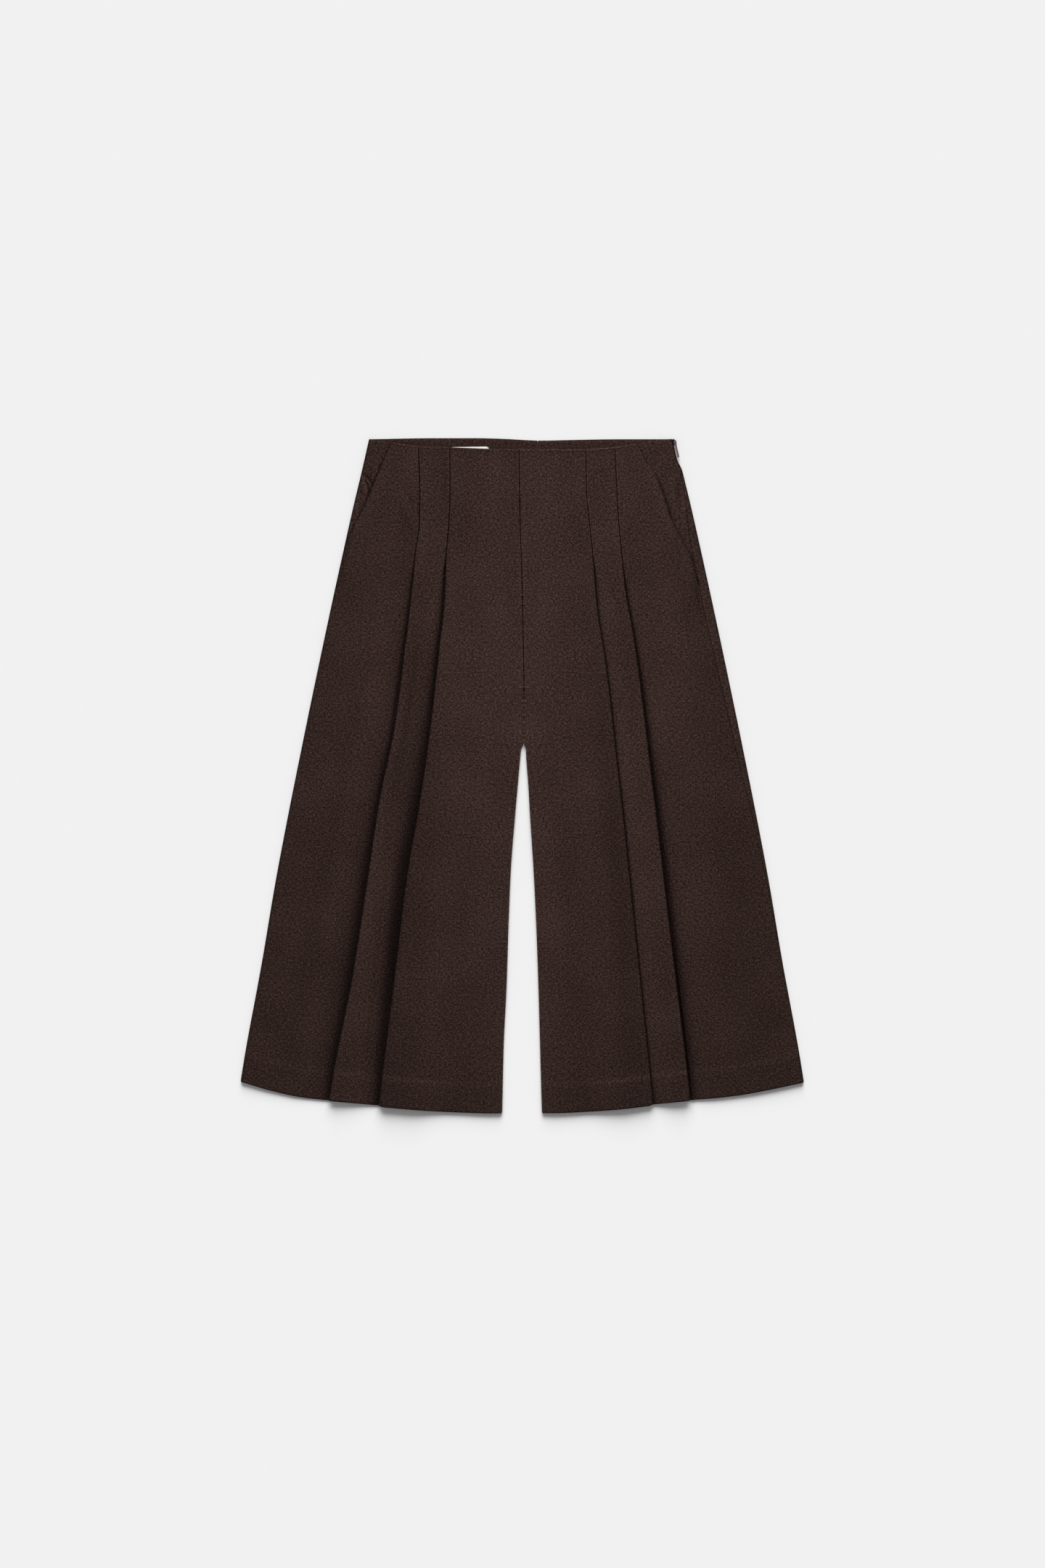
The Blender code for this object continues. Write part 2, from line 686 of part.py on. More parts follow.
def zip_chain(name):
    """Closed zip inside the left side seam: coil and tape edges as one bar."""
    rings = []
    for share in ZIP_ROWS:
        row = Row("left", share)
        nose = row.half_width - row.cloth / 2 - row.radius
        middle = min(nose - 1.2, row.round_side(max(row.seam, row.quarter))[0])
        low = row.cloth + (SIDE_HOLLOW - ZIP_THICK) / 2
        near, far = middle - ZIP_WIDE / 2, middle + ZIP_WIDE / 2
        corners = ((near, low + ZIP_THICK), (far, low + ZIP_THICK), (far, low), (near, low))
        ring = [placed("left", out, front_below("left", out, share), height) for out, height in corners]
        rings.append(ring)
    return bridged(name, rings)


# ---- objects ----
def material(name):
    made = bpy.data.materials.get(name)
    if made is None:
        made = bpy.data.materials.new(name)
        made.use_nodes = True
        shader = made.node_tree.nodes["Principled BSDF"]
        shader.inputs["Base Color"].default_value = (*FINISHES[name].colour, 1.0)
        shader.inputs["Roughness"].default_value = FINISHES[name].roughness
        shader.inputs["Metallic"].default_value = FINISHES[name].metallic
    return made


def add(name, data, finish, parent=None):
    obj = bpy.data.objects.new(name, data)
    data.materials.append(material(finish))
    bpy.context.scene.collection.objects.link(obj)
    obj.parent = parent
    return obj


def empty(name, matrix):
    obj = bpy.data.objects.new(name, None)
    bpy.context.scene.collection.objects.link(obj)
    obj.matrix_world = matrix
    return obj


def soft_shading(obj):
    obj.data.shade_smooth()
    obj.data.set_sharp_from_angle(angle=math.radians(50))


def box_mesh(name, size, bevel):
    """A box about the origin with its edges rounded off."""
    work = bmesh.new()
    bmesh.ops.create_cube(work, size=1.0)
    bmesh.ops.scale(work, vec=[value * MM for value in size], verts=work.verts)
    bmesh.ops.bevel(work, geom=work.edges[:], offset=bevel * MM, segments=1, affect="EDGES")
    mesh = bpy.data.meshes.new(name)
    work.to_mesh(mesh)
    work.free()
    return mesh


def pin_frame():
    """The zip pull's pin: x points off the cloth, y along the edge to the waist, and z is the pin."""
    row = Row("left", PIN_BELOW / LENGTH)
    lower = Row("left", 2 * PIN_BELOW / LENGTH)
    slope = math.atan2(lower.half_width - row.half_width, PIN_BELOW)
    reach = row.radius + row.cloth / 2 + SEAM_GAP + SLIDER_THICK + BRIDGE_CLEAR / 2
    nose = (row.half_width - row.cloth / 2 - row.radius, LENGTH / 2 - PIN_BELOW, row.cloth / 2 + row.radius)
    turned = Matrix.Rotation(slope, 4, "Z") @ Matrix.Rotation(-math.radians(PIN_TILT), 4, "Y")
    from_nose = Matrix.Translation((reach * MM, 0, 0))
    return Matrix.Translation([value * MM for value in nose]) @ turned @ from_nose


def bridge_profile():
    """The slider's bridge, seen along the pin: feet sunk in the slider, and a bar over the pin."""
    foot = BRIDGE_SPAN / 2
    low = -BRIDGE_CLEAR / 2 - 0.4
    inside = BRIDGE_CLEAR / 2
    top = inside + BRIDGE_BAR
    post = foot - 0.7
    return [
        (low, -foot),
        (inside, -foot),
        (top, -foot + 0.6),
        (top, foot - 0.6),
        (inside, foot),
        (low, foot),
        (low, post),
        (inside - 0.3, post),
        (inside, post - 0.4),
        (inside, -post + 0.4),
        (inside - 0.3, -post),
        (low, -post),
    ]


def add_slider(pin):
    """Slider body with its bridge joined on, in the pin's frame."""
    size = (SLIDER_THICK, SLIDER_LONG, SLIDER_WIDE)
    body = add("zip_slider", box_mesh("zip_slider", size, 0.45), "zip_enamel", pin)
    body.location = (-(BRIDGE_CLEAR + SLIDER_THICK) / 2 * MM, 0, 0)
    profile = bridge_profile()
    count = len(profile)
    points = [(x, y, z) for z in (-BRIDGE_WIDE / 2, BRIDGE_WIDE / 2) for x, y in profile]
    faces = [tuple(range(count)), tuple(range(2 * count - 1, count - 1, -1))]
    faces += [(i, (i + 1) % count, count + (i + 1) % count, count + i) for i in range(count)]
    bridge = add("zip_bridge_shape", mesh_of("zip_bridge_shape", points, faces), "zip_enamel", pin)
    bridge.hide_render = True
    bridge.display_type = "WIRE"
    join = body.modifiers.new("bridge", "BOOLEAN")
    join.operation = "UNION"
    join.object = bridge


def pull_outline():
    """Half outline of the pull, from the pin end to the foot: (half width, distance down)."""
    head = PULL_HEAD / 2
    foot = PULL_FOOT / 2
    half = [(head - 0.3, -CROSSBAR / 2), (head, -CROSSBAR / 2 + 0.3), (head, EYE_END)]
    half.append((PULL_NECK / 2, EYE_END + 2.6))
    for degrees in (0, 30, 60, 80):
        angle = math.radians(degrees)
        half.append((foot * math.cos(angle), PULL_LONG - foot + foot * math.sin(angle)))
    return half


def add_spline(data, corners):
    spline = data.splines.new("POLY")
    spline.points.add(len(corners) - 1)
    for point, (wide, down) in zip(spline.points, corners):
        point.co = (wide * MM, -down * MM, 0.0, 1.0)
    spline.use_cyclic_u = True


def add_pull(pin):
    """Flat drop-shaped tab with an eye round the bridge. Its origin is on the pin."""
    data = bpy.data.curves.new("zip_pull", "CURVE")
    data.dimensions = "2D"
    data.fill_mode = "BOTH"
    data.extrude = PULL_THICK / 2 * MM
    half = pull_outline()
    add_spline(data, half + [(-wide, down) for wide, down in reversed(half)])
    eye = EYE_WIDE / 2
    bar = CROSSBAR / 2
    add_spline(data, [(-eye, bar), (-eye, EYE_END), (eye, EYE_END), (eye, bar)])
    pull = add("zip_pull", data, "pull_metal", pin)
    pull.rotation_euler = (0.0, math.pi / 2, 0.0)


def add_label():
    back_top = 2 * (CLOTH + LAYER_GAP)
    size = (LABEL["width"], LABEL["height"], LABEL["thick"])
    middle = (LABEL["across"], LENGTH / 2 - LABEL["below"], back_top + LABEL["thick"] / 2)
    label = add("blank_label", box_mesh("blank_label", size, 0.15), "label_satin")
    label.location = [value * MM for value in middle]
    label.rotation_euler = (0.0, 0.0, math.radians(LABEL["turn"]))


def build():
    for obj in list(bpy.data.objects):
        bpy.data.objects.remove(obj, do_unlink=True)
    for side in ("right", "left"):
        rows = side_rows(side)
        mouth_rows = [row for row in rows if row <= MOUTH_END[side] + MOUTH_TUCK + 1e-6]
        cloth_pieces = {
            "back_" + side: wall("back_" + side, side, rows, back_path, back_below),
            "front_" + side: wall("front_" + side, side, rows, front_path, front_below, hang),
        }
        for name, mesh in cloth_pieces.items():
            soft_shading(add(name, mesh, "wool_cloth"))
        name = "pocket_facing_" + side
        soft_shading(add(name, wall(name, side, mouth_rows, pocket_facing_path, front_below), "wool_cloth"))
        name = "waist_facing_" + side
        add(name, waist_facing(name, side), "facing_cloth")
    add_label()
    add("zip_chain", zip_chain("zip_chain"), "zip_tape")
    pin = empty("zip_pin", pin_frame())
    add_slider(pin)
    add_pull(pin)


build()
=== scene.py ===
"""Pleated bermuda shorts laid flat on a pale studio surface: the cloth, sewing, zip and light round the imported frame.

Sizes are written in millimetres and become metres when a mesh is made. "below" is a depth under the back waist
edge, "out" a distance from the centre line to the side, "inset" a distance in from the outermost edge, "row" a
share of the way from waist to hem, and "along" a length of cloth from the outermost edge round the side.
"""

import json
import math
from collections import namedtuple

import bmesh
import bpy
import numpy as np
from mathutils import Matrix, Vector
from mathutils.bvhtree import BVHTree

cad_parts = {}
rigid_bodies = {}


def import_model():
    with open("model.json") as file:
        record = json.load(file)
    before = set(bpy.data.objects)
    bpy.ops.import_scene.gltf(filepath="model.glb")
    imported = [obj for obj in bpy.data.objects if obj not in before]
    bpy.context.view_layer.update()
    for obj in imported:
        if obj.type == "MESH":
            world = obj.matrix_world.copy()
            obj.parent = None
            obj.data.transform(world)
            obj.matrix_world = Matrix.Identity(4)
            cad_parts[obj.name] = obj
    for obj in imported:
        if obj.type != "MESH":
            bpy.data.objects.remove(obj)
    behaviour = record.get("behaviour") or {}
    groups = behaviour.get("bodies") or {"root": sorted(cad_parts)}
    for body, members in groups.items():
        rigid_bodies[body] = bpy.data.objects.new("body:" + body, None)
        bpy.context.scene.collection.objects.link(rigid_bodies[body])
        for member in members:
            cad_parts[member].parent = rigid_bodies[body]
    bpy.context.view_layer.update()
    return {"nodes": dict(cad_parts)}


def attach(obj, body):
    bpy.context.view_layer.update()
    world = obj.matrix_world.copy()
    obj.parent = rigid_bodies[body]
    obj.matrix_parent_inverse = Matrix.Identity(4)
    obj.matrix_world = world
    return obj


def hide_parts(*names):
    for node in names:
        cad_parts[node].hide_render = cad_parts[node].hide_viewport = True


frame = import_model()

MM = 0.001


def table(columns, *rows):
    """Rows of numbers with named columns."""
    kind = namedtuple("TableRow", columns)
    return tuple(kind(*row) for row in rows)


# ---- cloth and how it lies --------------------------------------------------------------------------------
CLOTH = 1.0  # wall of the wool cloth with its seam allowances
HEM_EXTRA = 0.3  # the pressed turn-up makes the wall this much thicker
HEM_START = 0.951  # row at which the turn-up begins
HEM_STEP = 0.010  # and over how many rows
HEM_LINE = 0.9535  # row of the turn-up's blind stitches
HEM_RIDGE = (0.0022, 0.03)  # half width, in rows, and height of the ridge along that line
WAIST_ROLL = (1.5, 1.0, 0.45)  # ridge of the front's pressed waist edge: how far from it, half width, height
SEAM_GAP = 0.3
SEAM_SUNK = 0.3  # the middle seam draws each front edge in by this much
SEAM_SUNK_END = (75.0, 50.0)  # and no longer does from here on, as distances above the crotch
LAYER_GAP = 0.35
POCKET_GAP = 0.5
SIDE_HOLLOW = 2.2  # between front and back at an outer edge
FLAT_BY_SIDE = {"right": 2.0, "left": 14.0}  # how far in from the side the front is up on the back again
SIDE_EASE = 55.0
EDGE_LAST = 2.4  # the last stretch of a piece before its side edge
EDGE_DROP = 0.12  # how far the very edge of a piece sinks beside its seam
EDGE_ROUND = 0.35  # share of the wall left at the very end of a turned edge, so that it rounds off
SEAM_ROUND = 0.12  # the same at the middle seam
END_ROUND = (0.15, 1.8)  # the same at a waist edge or hem, and how far from it the wall is full again
SHARP = {"cloth": 58, "label": 50}  # degrees from which an edge between faces is sharp

# Rows of a mesh: the usual step, and places with closer ones, as (place, reach, step).
ROW_STEP = 0.0047
POCKET_ROW_STEP = 0.0016
FACING_ROW_STEP = 0.003
LEAST_STEP = 0.0006
CLOSE_ROWS = ((0.0, 0.0049, 0.0007), (0.953, 0.006, 0.0012), (1.0, 0.0049, 0.0007))

# ---- outline, as the solids have it -----------------------------------------------------------------------
OUTLINE = table(
    "below half_width",
    (0, 174.4), (30, 181.4), (75, 192.3), (125, 203.6), (200, 220.0),
    (350, 251.4), (500, 280.8), (600, 297.8), (700, 316.3), (737, 322.3),
)
ZIP_NOTCH = 3.0
ZIP_NOTCH_END = (23.0, 38.0)
MIDDLE = table(
    "below front back",
    (0, -3.8, 18.0), (60, -3.0, 14.5), (105, -2.2, 12.0), (150, -0.5, 9.5),
    (220, 1.0, 6.0), (290, 2.1, 3.0), (350, 1.8, 1.8),
)
CROTCH = 350.0
INSEAM = table(
    "below right left",
    (352.5, -1.0, 4.2), (362, -1.9, 4.5), (395, -4.8, 6.9), (430, -7.9, 8.9), (494, -12.9, 13.0),
    (560, -15.6, 16.2), (627, -17.8, 18.6), (693, -21.0, 20.4), (771, -22.8, 22.6),
)
CROTCH_ROLL = (0.395, 0.445)  # rows over which the pressed middle seam becomes the rolled inseam
SEAM_ROLL = {"front": 30.0, "back": 20.0}  # degrees that the cloth turns down, or up, at the middle seam
FRONT_WAIST = table(
    "share right left",
    (0.0, 12.9, 12.9), (0.2, 12.6, 13.2), (0.38, 11.6, 13.3), (0.48, 10.8, 12.4), (0.6, 10.0, 10.8),
    (0.68, 9.2, 9.0), (0.86, 5.3, 3.7), (0.95, 2.8, 1.8), (1.0, 1.2, 1.2),
)
BACK_WAIST = table(
    "across below",
    (-174, 1.2), (-100, 0.0), (-50, 0.0), (-16, 1.0), (20, 2.8), (58, 2.0), (110, 1.2), (174, 1.2),
)
HEM = table(
    "share right left",
    (0.0, 770.3, 770.0), (0.1, 770.3, 770.0), (0.27, 768.6, 767.6), (0.47, 763.6, 761.0), (0.6, 759.6, 756.6),
    (0.69, 756.8, 754.2), (0.78, 753.6, 750.6), (0.88, 746.8, 744.6), (1.0, 735.4, 736.4),
)
BACK_HEM_DROP = 1.4  # by the inseam the back's hem shows this much under the front's
BACK_HEM_SHARE = (0.1, 0.24)
LENGTH = HEM[0].right + BACK_HEM_DROP
SOLVE_FROM = 100.0  # a first guess at where a line crosses a row
SOLVE_STEPS = 6  # and how often it is made better

# ---- pleats -----------------------------------------------------------------------------------------------
PLEATS = {
    "right": table(
        "below inner outer",
        (10, 82.9, 118.5), (60, 82.4, 117.2), (98, 84.0, 117.6), (134, 86.9, 122.4), (180, 88.4, 126.8),
        (240, 94.6, 134.2), (330, 104.6, 145.8), (410, 115.8, 162.3), (504, 131.8, 176.6),
        (616, 145.5, 194.0), (714, 158.0, 213.6), (762, 163.9, 221.8),
    ),
    "left": table(
        "below inner outer",
        (10, 73.0, 105.8), (60, 73.6, 108.4), (90, 76.4, 110.0), (134, 80.9, 114.0), (180, 84.4, 119.0),
        (215, 88.6, 125.4), (252, 94.8, 131.2), (374, 108.8, 146.2), (435, 115.8, 153.6),
        (557, 128.4, 168.0), (725, 146.1, 188.7), (762, 150.1, 192.8),
    ),
}
PLEAT_DEPTH = {"inner": (22.0, 28.0), "outer": (12.0, 13.0)}  # at the waist and at the hem
INNER_RAMP = 46.0  # over which the inner panel rises on to its own pleat
STITCHED = (0.165, 0.225)  # rows over which the pleats, sewn down above, come free
STITCHED_TO = {"inner": 134.0, "outer": 127.0}
SEWN_START = -0.3  # where the cloth beside a sewn fold begins to rise, from the fold
SEWN_RAMP = 1.6  # and over what distance it is level with it
SEWN_EASE = 80.0  # and how far on the outer panel comes down again
SEWN_LIFT = 1.9  # layers that the outer panel rises beside a sewn fold
HEM_DROP = {"inner": 1.1, "strip": 0.3}  # how much deeper the folds hang than the cloth under them
HEM_DROP_ROWS = (0.8, 1.0)
HEM_DROP_EASE = 6.0

# How high the cloth stands over its flat lie: the inner panel at its fold, the strip between the folds where it
# leaves the inner one and at the outer one, and the outer panel at its crest.
CROWNS = {
    "right": table(
        "below inner root strip outer",
        (0, 0.0, 0.0, 0.0, 0.0), (60, 0.3, 0.0, 0.2, 0.4), (125, 0.8, 0.0, 0.5, 0.6), (200, 4.6, 2.2, 1.6, 1.0),
        (330, 13.8, 9.0, 3.8, 0.6), (400, 14.2, 6.6, 4.6, 0.6), (495, 12.8, 1.2, 7.4, 0.6),
        (620, 10.4, 0.0, 8.2, 1.2), (700, 7.6, 0.0, 6.2, 1.0), (770, 2.4, 0.0, 2.2, 0.6),
    ),
    "left": table(
        "below inner root strip outer",
        (0, 0.0, 0.0, 0.0, 0.0), (60, 0.3, 0.0, 0.2, 0.8), (125, 0.8, 0.0, 0.5, 1.8), (200, 2.8, 1.4, 1.6, 2.2),
        (330, 5.8, 3.0, 4.6, 3.6), (470, 7.4, 4.0, 7.2, 4.6), (620, 7.2, 4.0, 7.6, 4.6),
        (700, 5.4, 3.0, 6.2, 3.8), (770, 1.8, 1.0, 2.4, 1.2),
    ),
}
OUTER_RISE = {"right": 2.2, "left": 0.7}  # how slowly the right outer panel rises from under its fold
STRIP_RISE = {"right": 2.4, "left": 1.0}
UNDER_RISE = 1.6
INNER_CREST = 0.5  # where the left inner panel is highest
INNER_FALL = 0.42  # how much of that height it loses again beside its fold
INNER_FALL_WIDE = 0.26  # and over what share of its width
CREST = {"right": 0.42, "left": 0.5}  # where the outer panel is highest, as a share of its width
CREST_END = 4.0

# Points that a front's path has over each stretch, from the middle to the side, and how far the closer ones reach.
POINTS = {"seam": 6, "inner": 34, "climb": 14, "strip": 20, "beside": 14, "outer": 32}
PLEAT_POINTS = {"fold": 7, "under": 8, "back": 5, "root": 9}
CLOSE = {"seam": 6.0, "beside": 12.0}
PAST_FOLD = {"inner": 0.6, "outer": 0.4}  # where the path goes on past a fold
ROOT_END = 1.0  # and where it ends before it
CLIMB_CLEAR = {"inner": 2.0, "outer": 1.0}  # a panel is up on its pleat this far before the pleat's back edge
CLIMB_FREE = 0.8  # where the strip begins to rise beside the inner fold once that is free
CLIMB_LEAST = 1.3
ROLL_SHARES = (1.0, 0.8, 0.6, 0.4, 0.2)  # where the points of a roll at the middle are, as shares of its angle
LAST_SHARES = (0.75, 0.5, 0.25, 0.0)  # and those of the last stretch of cloth before a side edge

# ---- pockets and side seams -------------------------------------------------------------------------------
MOUTH = {
    "right": table("below inset", (5, 25.0), (30, 20.2), (51, 17.0), (77, 12.3), (95, 7.4), (113, 2.6)),
    "left": table(
        "below inset",
        (8, 39.6), (27, 35.2), (50, 29.8), (72, 27.2), (91, 26.0), (103, 23.0), (122, 17.4), (137, 13.0), (157, 12.2),
    ),
}
MOUTH_TOP = 8.0  # about how deep the front's waist edge lies over the mouths
MOUTH_END = {"right": 0.152, "left": 0.213}
MOUTH_GAPE = {"right": 0.6, "left": 1.5}  # how far the mouth's edge stands off the facing, half way down
GAPE_WIDE = 10.0
MOUTH_TUCK = 0.020
MOUTH_TUCK_INSET = 12.0
MOUTH_CLOSE = (0.024, 0.11)  # rows under the mouth over which the front comes down on the back
FACING_UNDERLAP = 20.0
POCKET_RAMP = 26.0  # over which the front rises on to the facing
POCKET_LEAST = (1.0, 4.0)  # how near the outer fold that rise may begin, and how short it may be
POCKET_MARGIN = 2.0
POCKET_POINTS = 56
POCKET_SEAM = (3.0, 7.0)  # under the mouth, the front rises over this stretch from the side seam
SIDE_SEAM = {
    "right": table("below along", (0, 0.0), (771, 0.0)),
    "left": table(
        "below along",
        (0, 1.1), (30, 1.4), (50, 3.0), (75, 5.3), (95, 8.0), (115, 9.9), (150, 10.3), (197, 11.5), (258, 10.5),
        (304, 9.1), (371, 8.0), (410, 5.6), (471, 3.9), (520, 2.4), (590, 0.9), (771, 0.0),
    ),
}

# ---- inside of the waist and the zip ----------------------------------------------------------------------
WAIST_FACING_ROW = 0.045
WAIST_FACING_DOWN = 0.8
WAIST_FACING_STEP = (0.047, 0.16)
WAIST_FACING_SIDE = {"right": 2.8, "left": 5.6}
WAIST_FACING_POINTS = 170
SEAM_RIDGE_MIDDLE = 5.5  # from the middle seam of the band
SEAM_RIDGE_REACH = 6.0
SEAM_RIDGE_PITCH = 3.1
SEAM_RIDGE_HIGH = 0.16
LABEL = {"width": 44.0, "height": 13.0, "thick": 0.6, "wall": 0.42, "across": -60.4, "below": 16.7, "turn": 0.9}
LABEL_CORNER = (0.47, 0.42, 30.0)  # where the corners begin, as shares across and down, and how round they are
LABEL_GRID = (44, 12)
LABEL_WAVES = table("height across down start", (0.05, 9.0, 0.0, 1.0), (0.03, 23.0, 4.0, 0.0))
LABEL_RAMP = 12.0  # beside the label the front comes down again
LABEL_ROWS = (0.016, 0.09)
ZIP_ROWS = (0.016, 0.245)
ZIP_THICK = 1.2
ZIP_STEPS = 30
ZIP_BACK = 1.2  # how far the coil lies in from the turn of the edge
TAPE = (2.9, 0.3)  # width and thickness that show
COIL_PITCH = 1.05
COIL_BAR = 0.42
COIL_HIGH = 0.75
COIL_LEAN = 0.18
COIL_TURN = ((-1.3, 0.35), (-1.05, 0.9), (0.0, 1.0), (1.05, 0.9), (1.3, 0.35))  # across, and share of the bar

# ---- sewing -----------------------------------------------------------------------------------------------
STITCH = {"right": (2.0, 1.35), "left": (1.9, 1.6)}  # pitch and length of one stitch
STITCH_INSET = 1.5
FIRST_STITCH = 1.5  # under the waist edge
STITCH_FORM = ((0.0, 0.45, -0.35), (0.22, 1.0, 0.1), (0.78, 1.0, 0.1), (1.0, 0.45, -0.35))  # along, size, up
STITCH_STEP = 1.0  # a stitch that would climb more than this is left out
MOUTH_STITCH_INSET = 2.0
MOUTH_STITCH_END = 3.0  # how far from the mouth's ends its sewing stops
LINE_STEPS = 40
ROUND = [(math.cos(math.tau * k / 6), math.sin(math.tau * k / 6)) for k in range(6)]  # section of a thread
END_LINE = {"inner": 15.0, "outer": 4.0}  # how far the seam turns in at the end of the sewn part
TACK_PITCH = 0.45
TACK_LONG = 1.5
TACK_WIDE = {"pleat": 4.0, "mouth": 3.4}
TACK_FROM_FOLD = 2.6
TACK_TURN = 1.2
THREAD = {"right": 0.42, "left": 0.34, "tacks": 0.38, "blind": 0.3}  # how thick it is
BLIND_COUNT = 30
BLIND_SPAN = (30.0, 42.0)  # from the middle, and what it and the side leave of the width
BLIND_UNEVEN = 0.15  # every second one stands this share of the pitch off its place
BLIND_LONG = 0.8
# Puckers that sewing makes in the cloth beside it: how strong, over what distance, and how far off it is sewn.
PUCKER = {
    "side": (0.35, 6.0, 0.0), "fold": (0.8, 5.0, -2.0), "middle": (0.6, 9.0, 0.0),
    "waist": (0.5, 6.0, 3.0), "mouth": (0.4, 5.0, 0.0),
}
PUCKER_END = (4.0, 10.0)  # they fade out from so far before the end of a stitched fold to so far after it

# ---- creases and soft folds of this pair ------------------------------------------------------------------
# Each runs from a start over a bend to an end, and is a ridge, or a trough where its height is under nothing.
CREASE = "below_1 out_1 below_2 out_2 below_3 out_3 half_width height"
CREASES = {
    "right": table(
        CREASE,
        # the valley along the middle seam
        (-80, 2.5, 200, 0, 400, -1, 3.0, -0.45),
        # drag lines from the hip to the pocket mouth and the stitched folds
        (60, 134, 75, 128, 88, 122, 4.0, -0.45),
        (60, 140, 82, 133, 104, 128, 6.0, 0.4),
        (30, 128, 70, 125, 120, 130, 9.0, 0.5),
        (96, 150, 140, 158, 190, 170, 12.0, 0.7),
        # long soft waves down the panels
        (150, 30, 330, 42, 560, 66, 17.0, 0.9),
        (220, 62, 420, 78, 680, 104, 15.0, -0.7),
        (420, 44, 560, 58, 740, 96, 14.0, 0.8),
        (180, 160, 330, 186, 520, 224, 14.0, 0.8),
        (330, 206, 480, 236, 640, 262, 13.0, -0.7),
        (470, 210, 600, 240, 735, 262, 15.0, 0.9),
        (560, 196, 650, 222, 757, 244, 9.0, -0.6),
        # the strip's own creases beside the inner fold
        (440, 146, 600, 166, 757, 178, 2.4, 1.5),
        (300, 112, 430, 130, 560, 150, 5.0, -0.6),
        (250, 118, 330, 128, 420, 146, 4.0, 0.5),
    ),
    "left": table(
        CREASE,
        (-80, -2.5, 200, 0, 400, 1, 3.0, -0.45),
        (78, 118, 88, 124, 97, 128, 3.5, -0.3),
        (60, 130, 86, 126, 112, 120, 6.0, 0.25),
        (180, 192, 205, 195, 232, 197, 4.0, -0.5),
        (110, 148, 160, 160, 215, 176, 12.0, 0.7),
        (336, 14, 470, 40, 662, 56, 15.0, 1.6),
        (150, 26, 300, 40, 440, 52, 18.0, 0.8),
        (360, 62, 520, 78, 700, 98, 14.0, -0.8),
        (520, 70, 640, 92, 756, 112, 13.0, 0.9),
        (230, 160, 380, 192, 560, 232, 15.0, 0.8),
        (380, 222, 520, 250, 690, 288, 13.0, -0.7),
        (460, 198, 600, 226, 745, 250, 14.0, 0.9),
        (585, 175, 680, 188, 790, 199, 2.0, 1.5),
        (330, 132, 470, 152, 640, 170, 6.0, 0.5),
    ),
}
# The loose hip cloth inside the pocket mouths.
POCKET_CREASES = {
    "right": table(
        CREASE,
        (40, 184, 46, 175, 57, 170, 1.3, -2.0),
        (52, 184, 58, 180, 66, 183, 2.2, 0.5),
        (46, 182, 59, 172, 72, 180, 1.4, -2.2),
        (24, 170, 33, 167, 42, 172, 4.0, 0.7),
        (30, 163, 35, 165, 40, 163, 1.4, -1.6),
        (62, 188, 76, 190, 92, 194, 2.6, 0.5),
    ),
    "left": table(
        CREASE,
        (40, 176, 58, 172, 78, 176, 3.6, 0.8),
        (50, 180, 66, 181, 84, 183, 2.6, -0.6),
        (60, 186, 84, 188, 108, 192, 3.0, 0.6),
        (18, 158, 30, 163, 40, 168, 4.0, 0.5),
    ),
}
CREASE_STEPS = 14
CREASE_FADE = 0.8
# Slow unevenness of cloth that has been worn and pressed, as a few crossing waves.
WAVES = table(
    "length direction height start",
    (137, 72, 0.16, 0.4), (91, 104, 0.12, 2.1), (58, 38, 0.06, 4.0), (43, 151, 0.05, 1.2), (27, 84, 0.025, 5.1),
)
RELIEF_FREE = (1.05, 2.1)  # cloth that lies on the surface has no relief, and cloth up here has all of it
DEEPEST = {"facing": -1.0, "cloth": -0.45}

# ---- colours: linear --------------------------------------------------------------------------------------
WOOL = {"Dark": (0.0106, 0.0051, 0.0041), "Base": (0.0240, 0.0123, 0.0101), "Light": (0.0580, 0.0352, 0.0305)}
FACING = {"Dark": (0.0105, 0.0050, 0.0040), "Base": (0.0200, 0.0100, 0.0082), "Light": (0.0480, 0.0280, 0.0235)}
THREAD_BROWN = (0.0560, 0.0360, 0.0300)
TACK_BROWN = (0.0280, 0.0150, 0.0120)
LABEL_WHITE = (0.76, 0.75, 0.72)
ENAMEL = (0.0110, 0.0080, 0.0070)
# The zip pull's pale grey is a painted highlight: it stands for the light on the pull's tilted face.
PULL_GREY_PAINTED_HIGHLIGHT = (0.1000, 0.0820, 0.0680)
TAPE_BROWN = (0.0120, 0.0080, 0.0070)
COIL_BROWN = (0.0260, 0.0150, 0.0120)


def clamp(value, low=0.0, high=1.0):
    return max(low, min(high, value))


def smooth(value, start=0.0, end=1.0):
    """0 before start, 1 after end, and an even curve between."""
    share = clamp((value - start) / (end - start))
    return share * share * (3.0 - 2.0 * share)


def bell(distance, reach):
    """1 at no distance, and less and less on both sides of it."""
    return np.exp(-((distance / reach) ** 2))


def curve(rows, key, column, place):
    """Value of a column at a place, on a curve through the rows that never overshoots them."""
    at = [getattr(row, key) for row in rows]
    value = [getattr(row, column) for row in rows]
    place = clamp(place, at[0], at[-1])
    slopes = [(value[i + 1] - value[i]) / (at[i + 1] - at[i]) for i in range(len(at) - 1)]
    tangents = [slopes[0]]
    for before, after in zip(slopes, slopes[1:]):
        tangents.append(0.0 if before * after <= 0 else 2.0 * before * after / (before + after))
    tangents.append(slopes[-1])
    i = max(k for k in range(len(at) - 1) if at[k] <= place)
    span = at[i + 1] - at[i]
    share = (place - at[i]) / span
    bend = (1.0 - share) * (tangents[i] - slopes[i]) - share * (tangents[i + 1] - slopes[i])
    return value[i] + span * share * (slopes[i] + (1.0 - share) * bend)


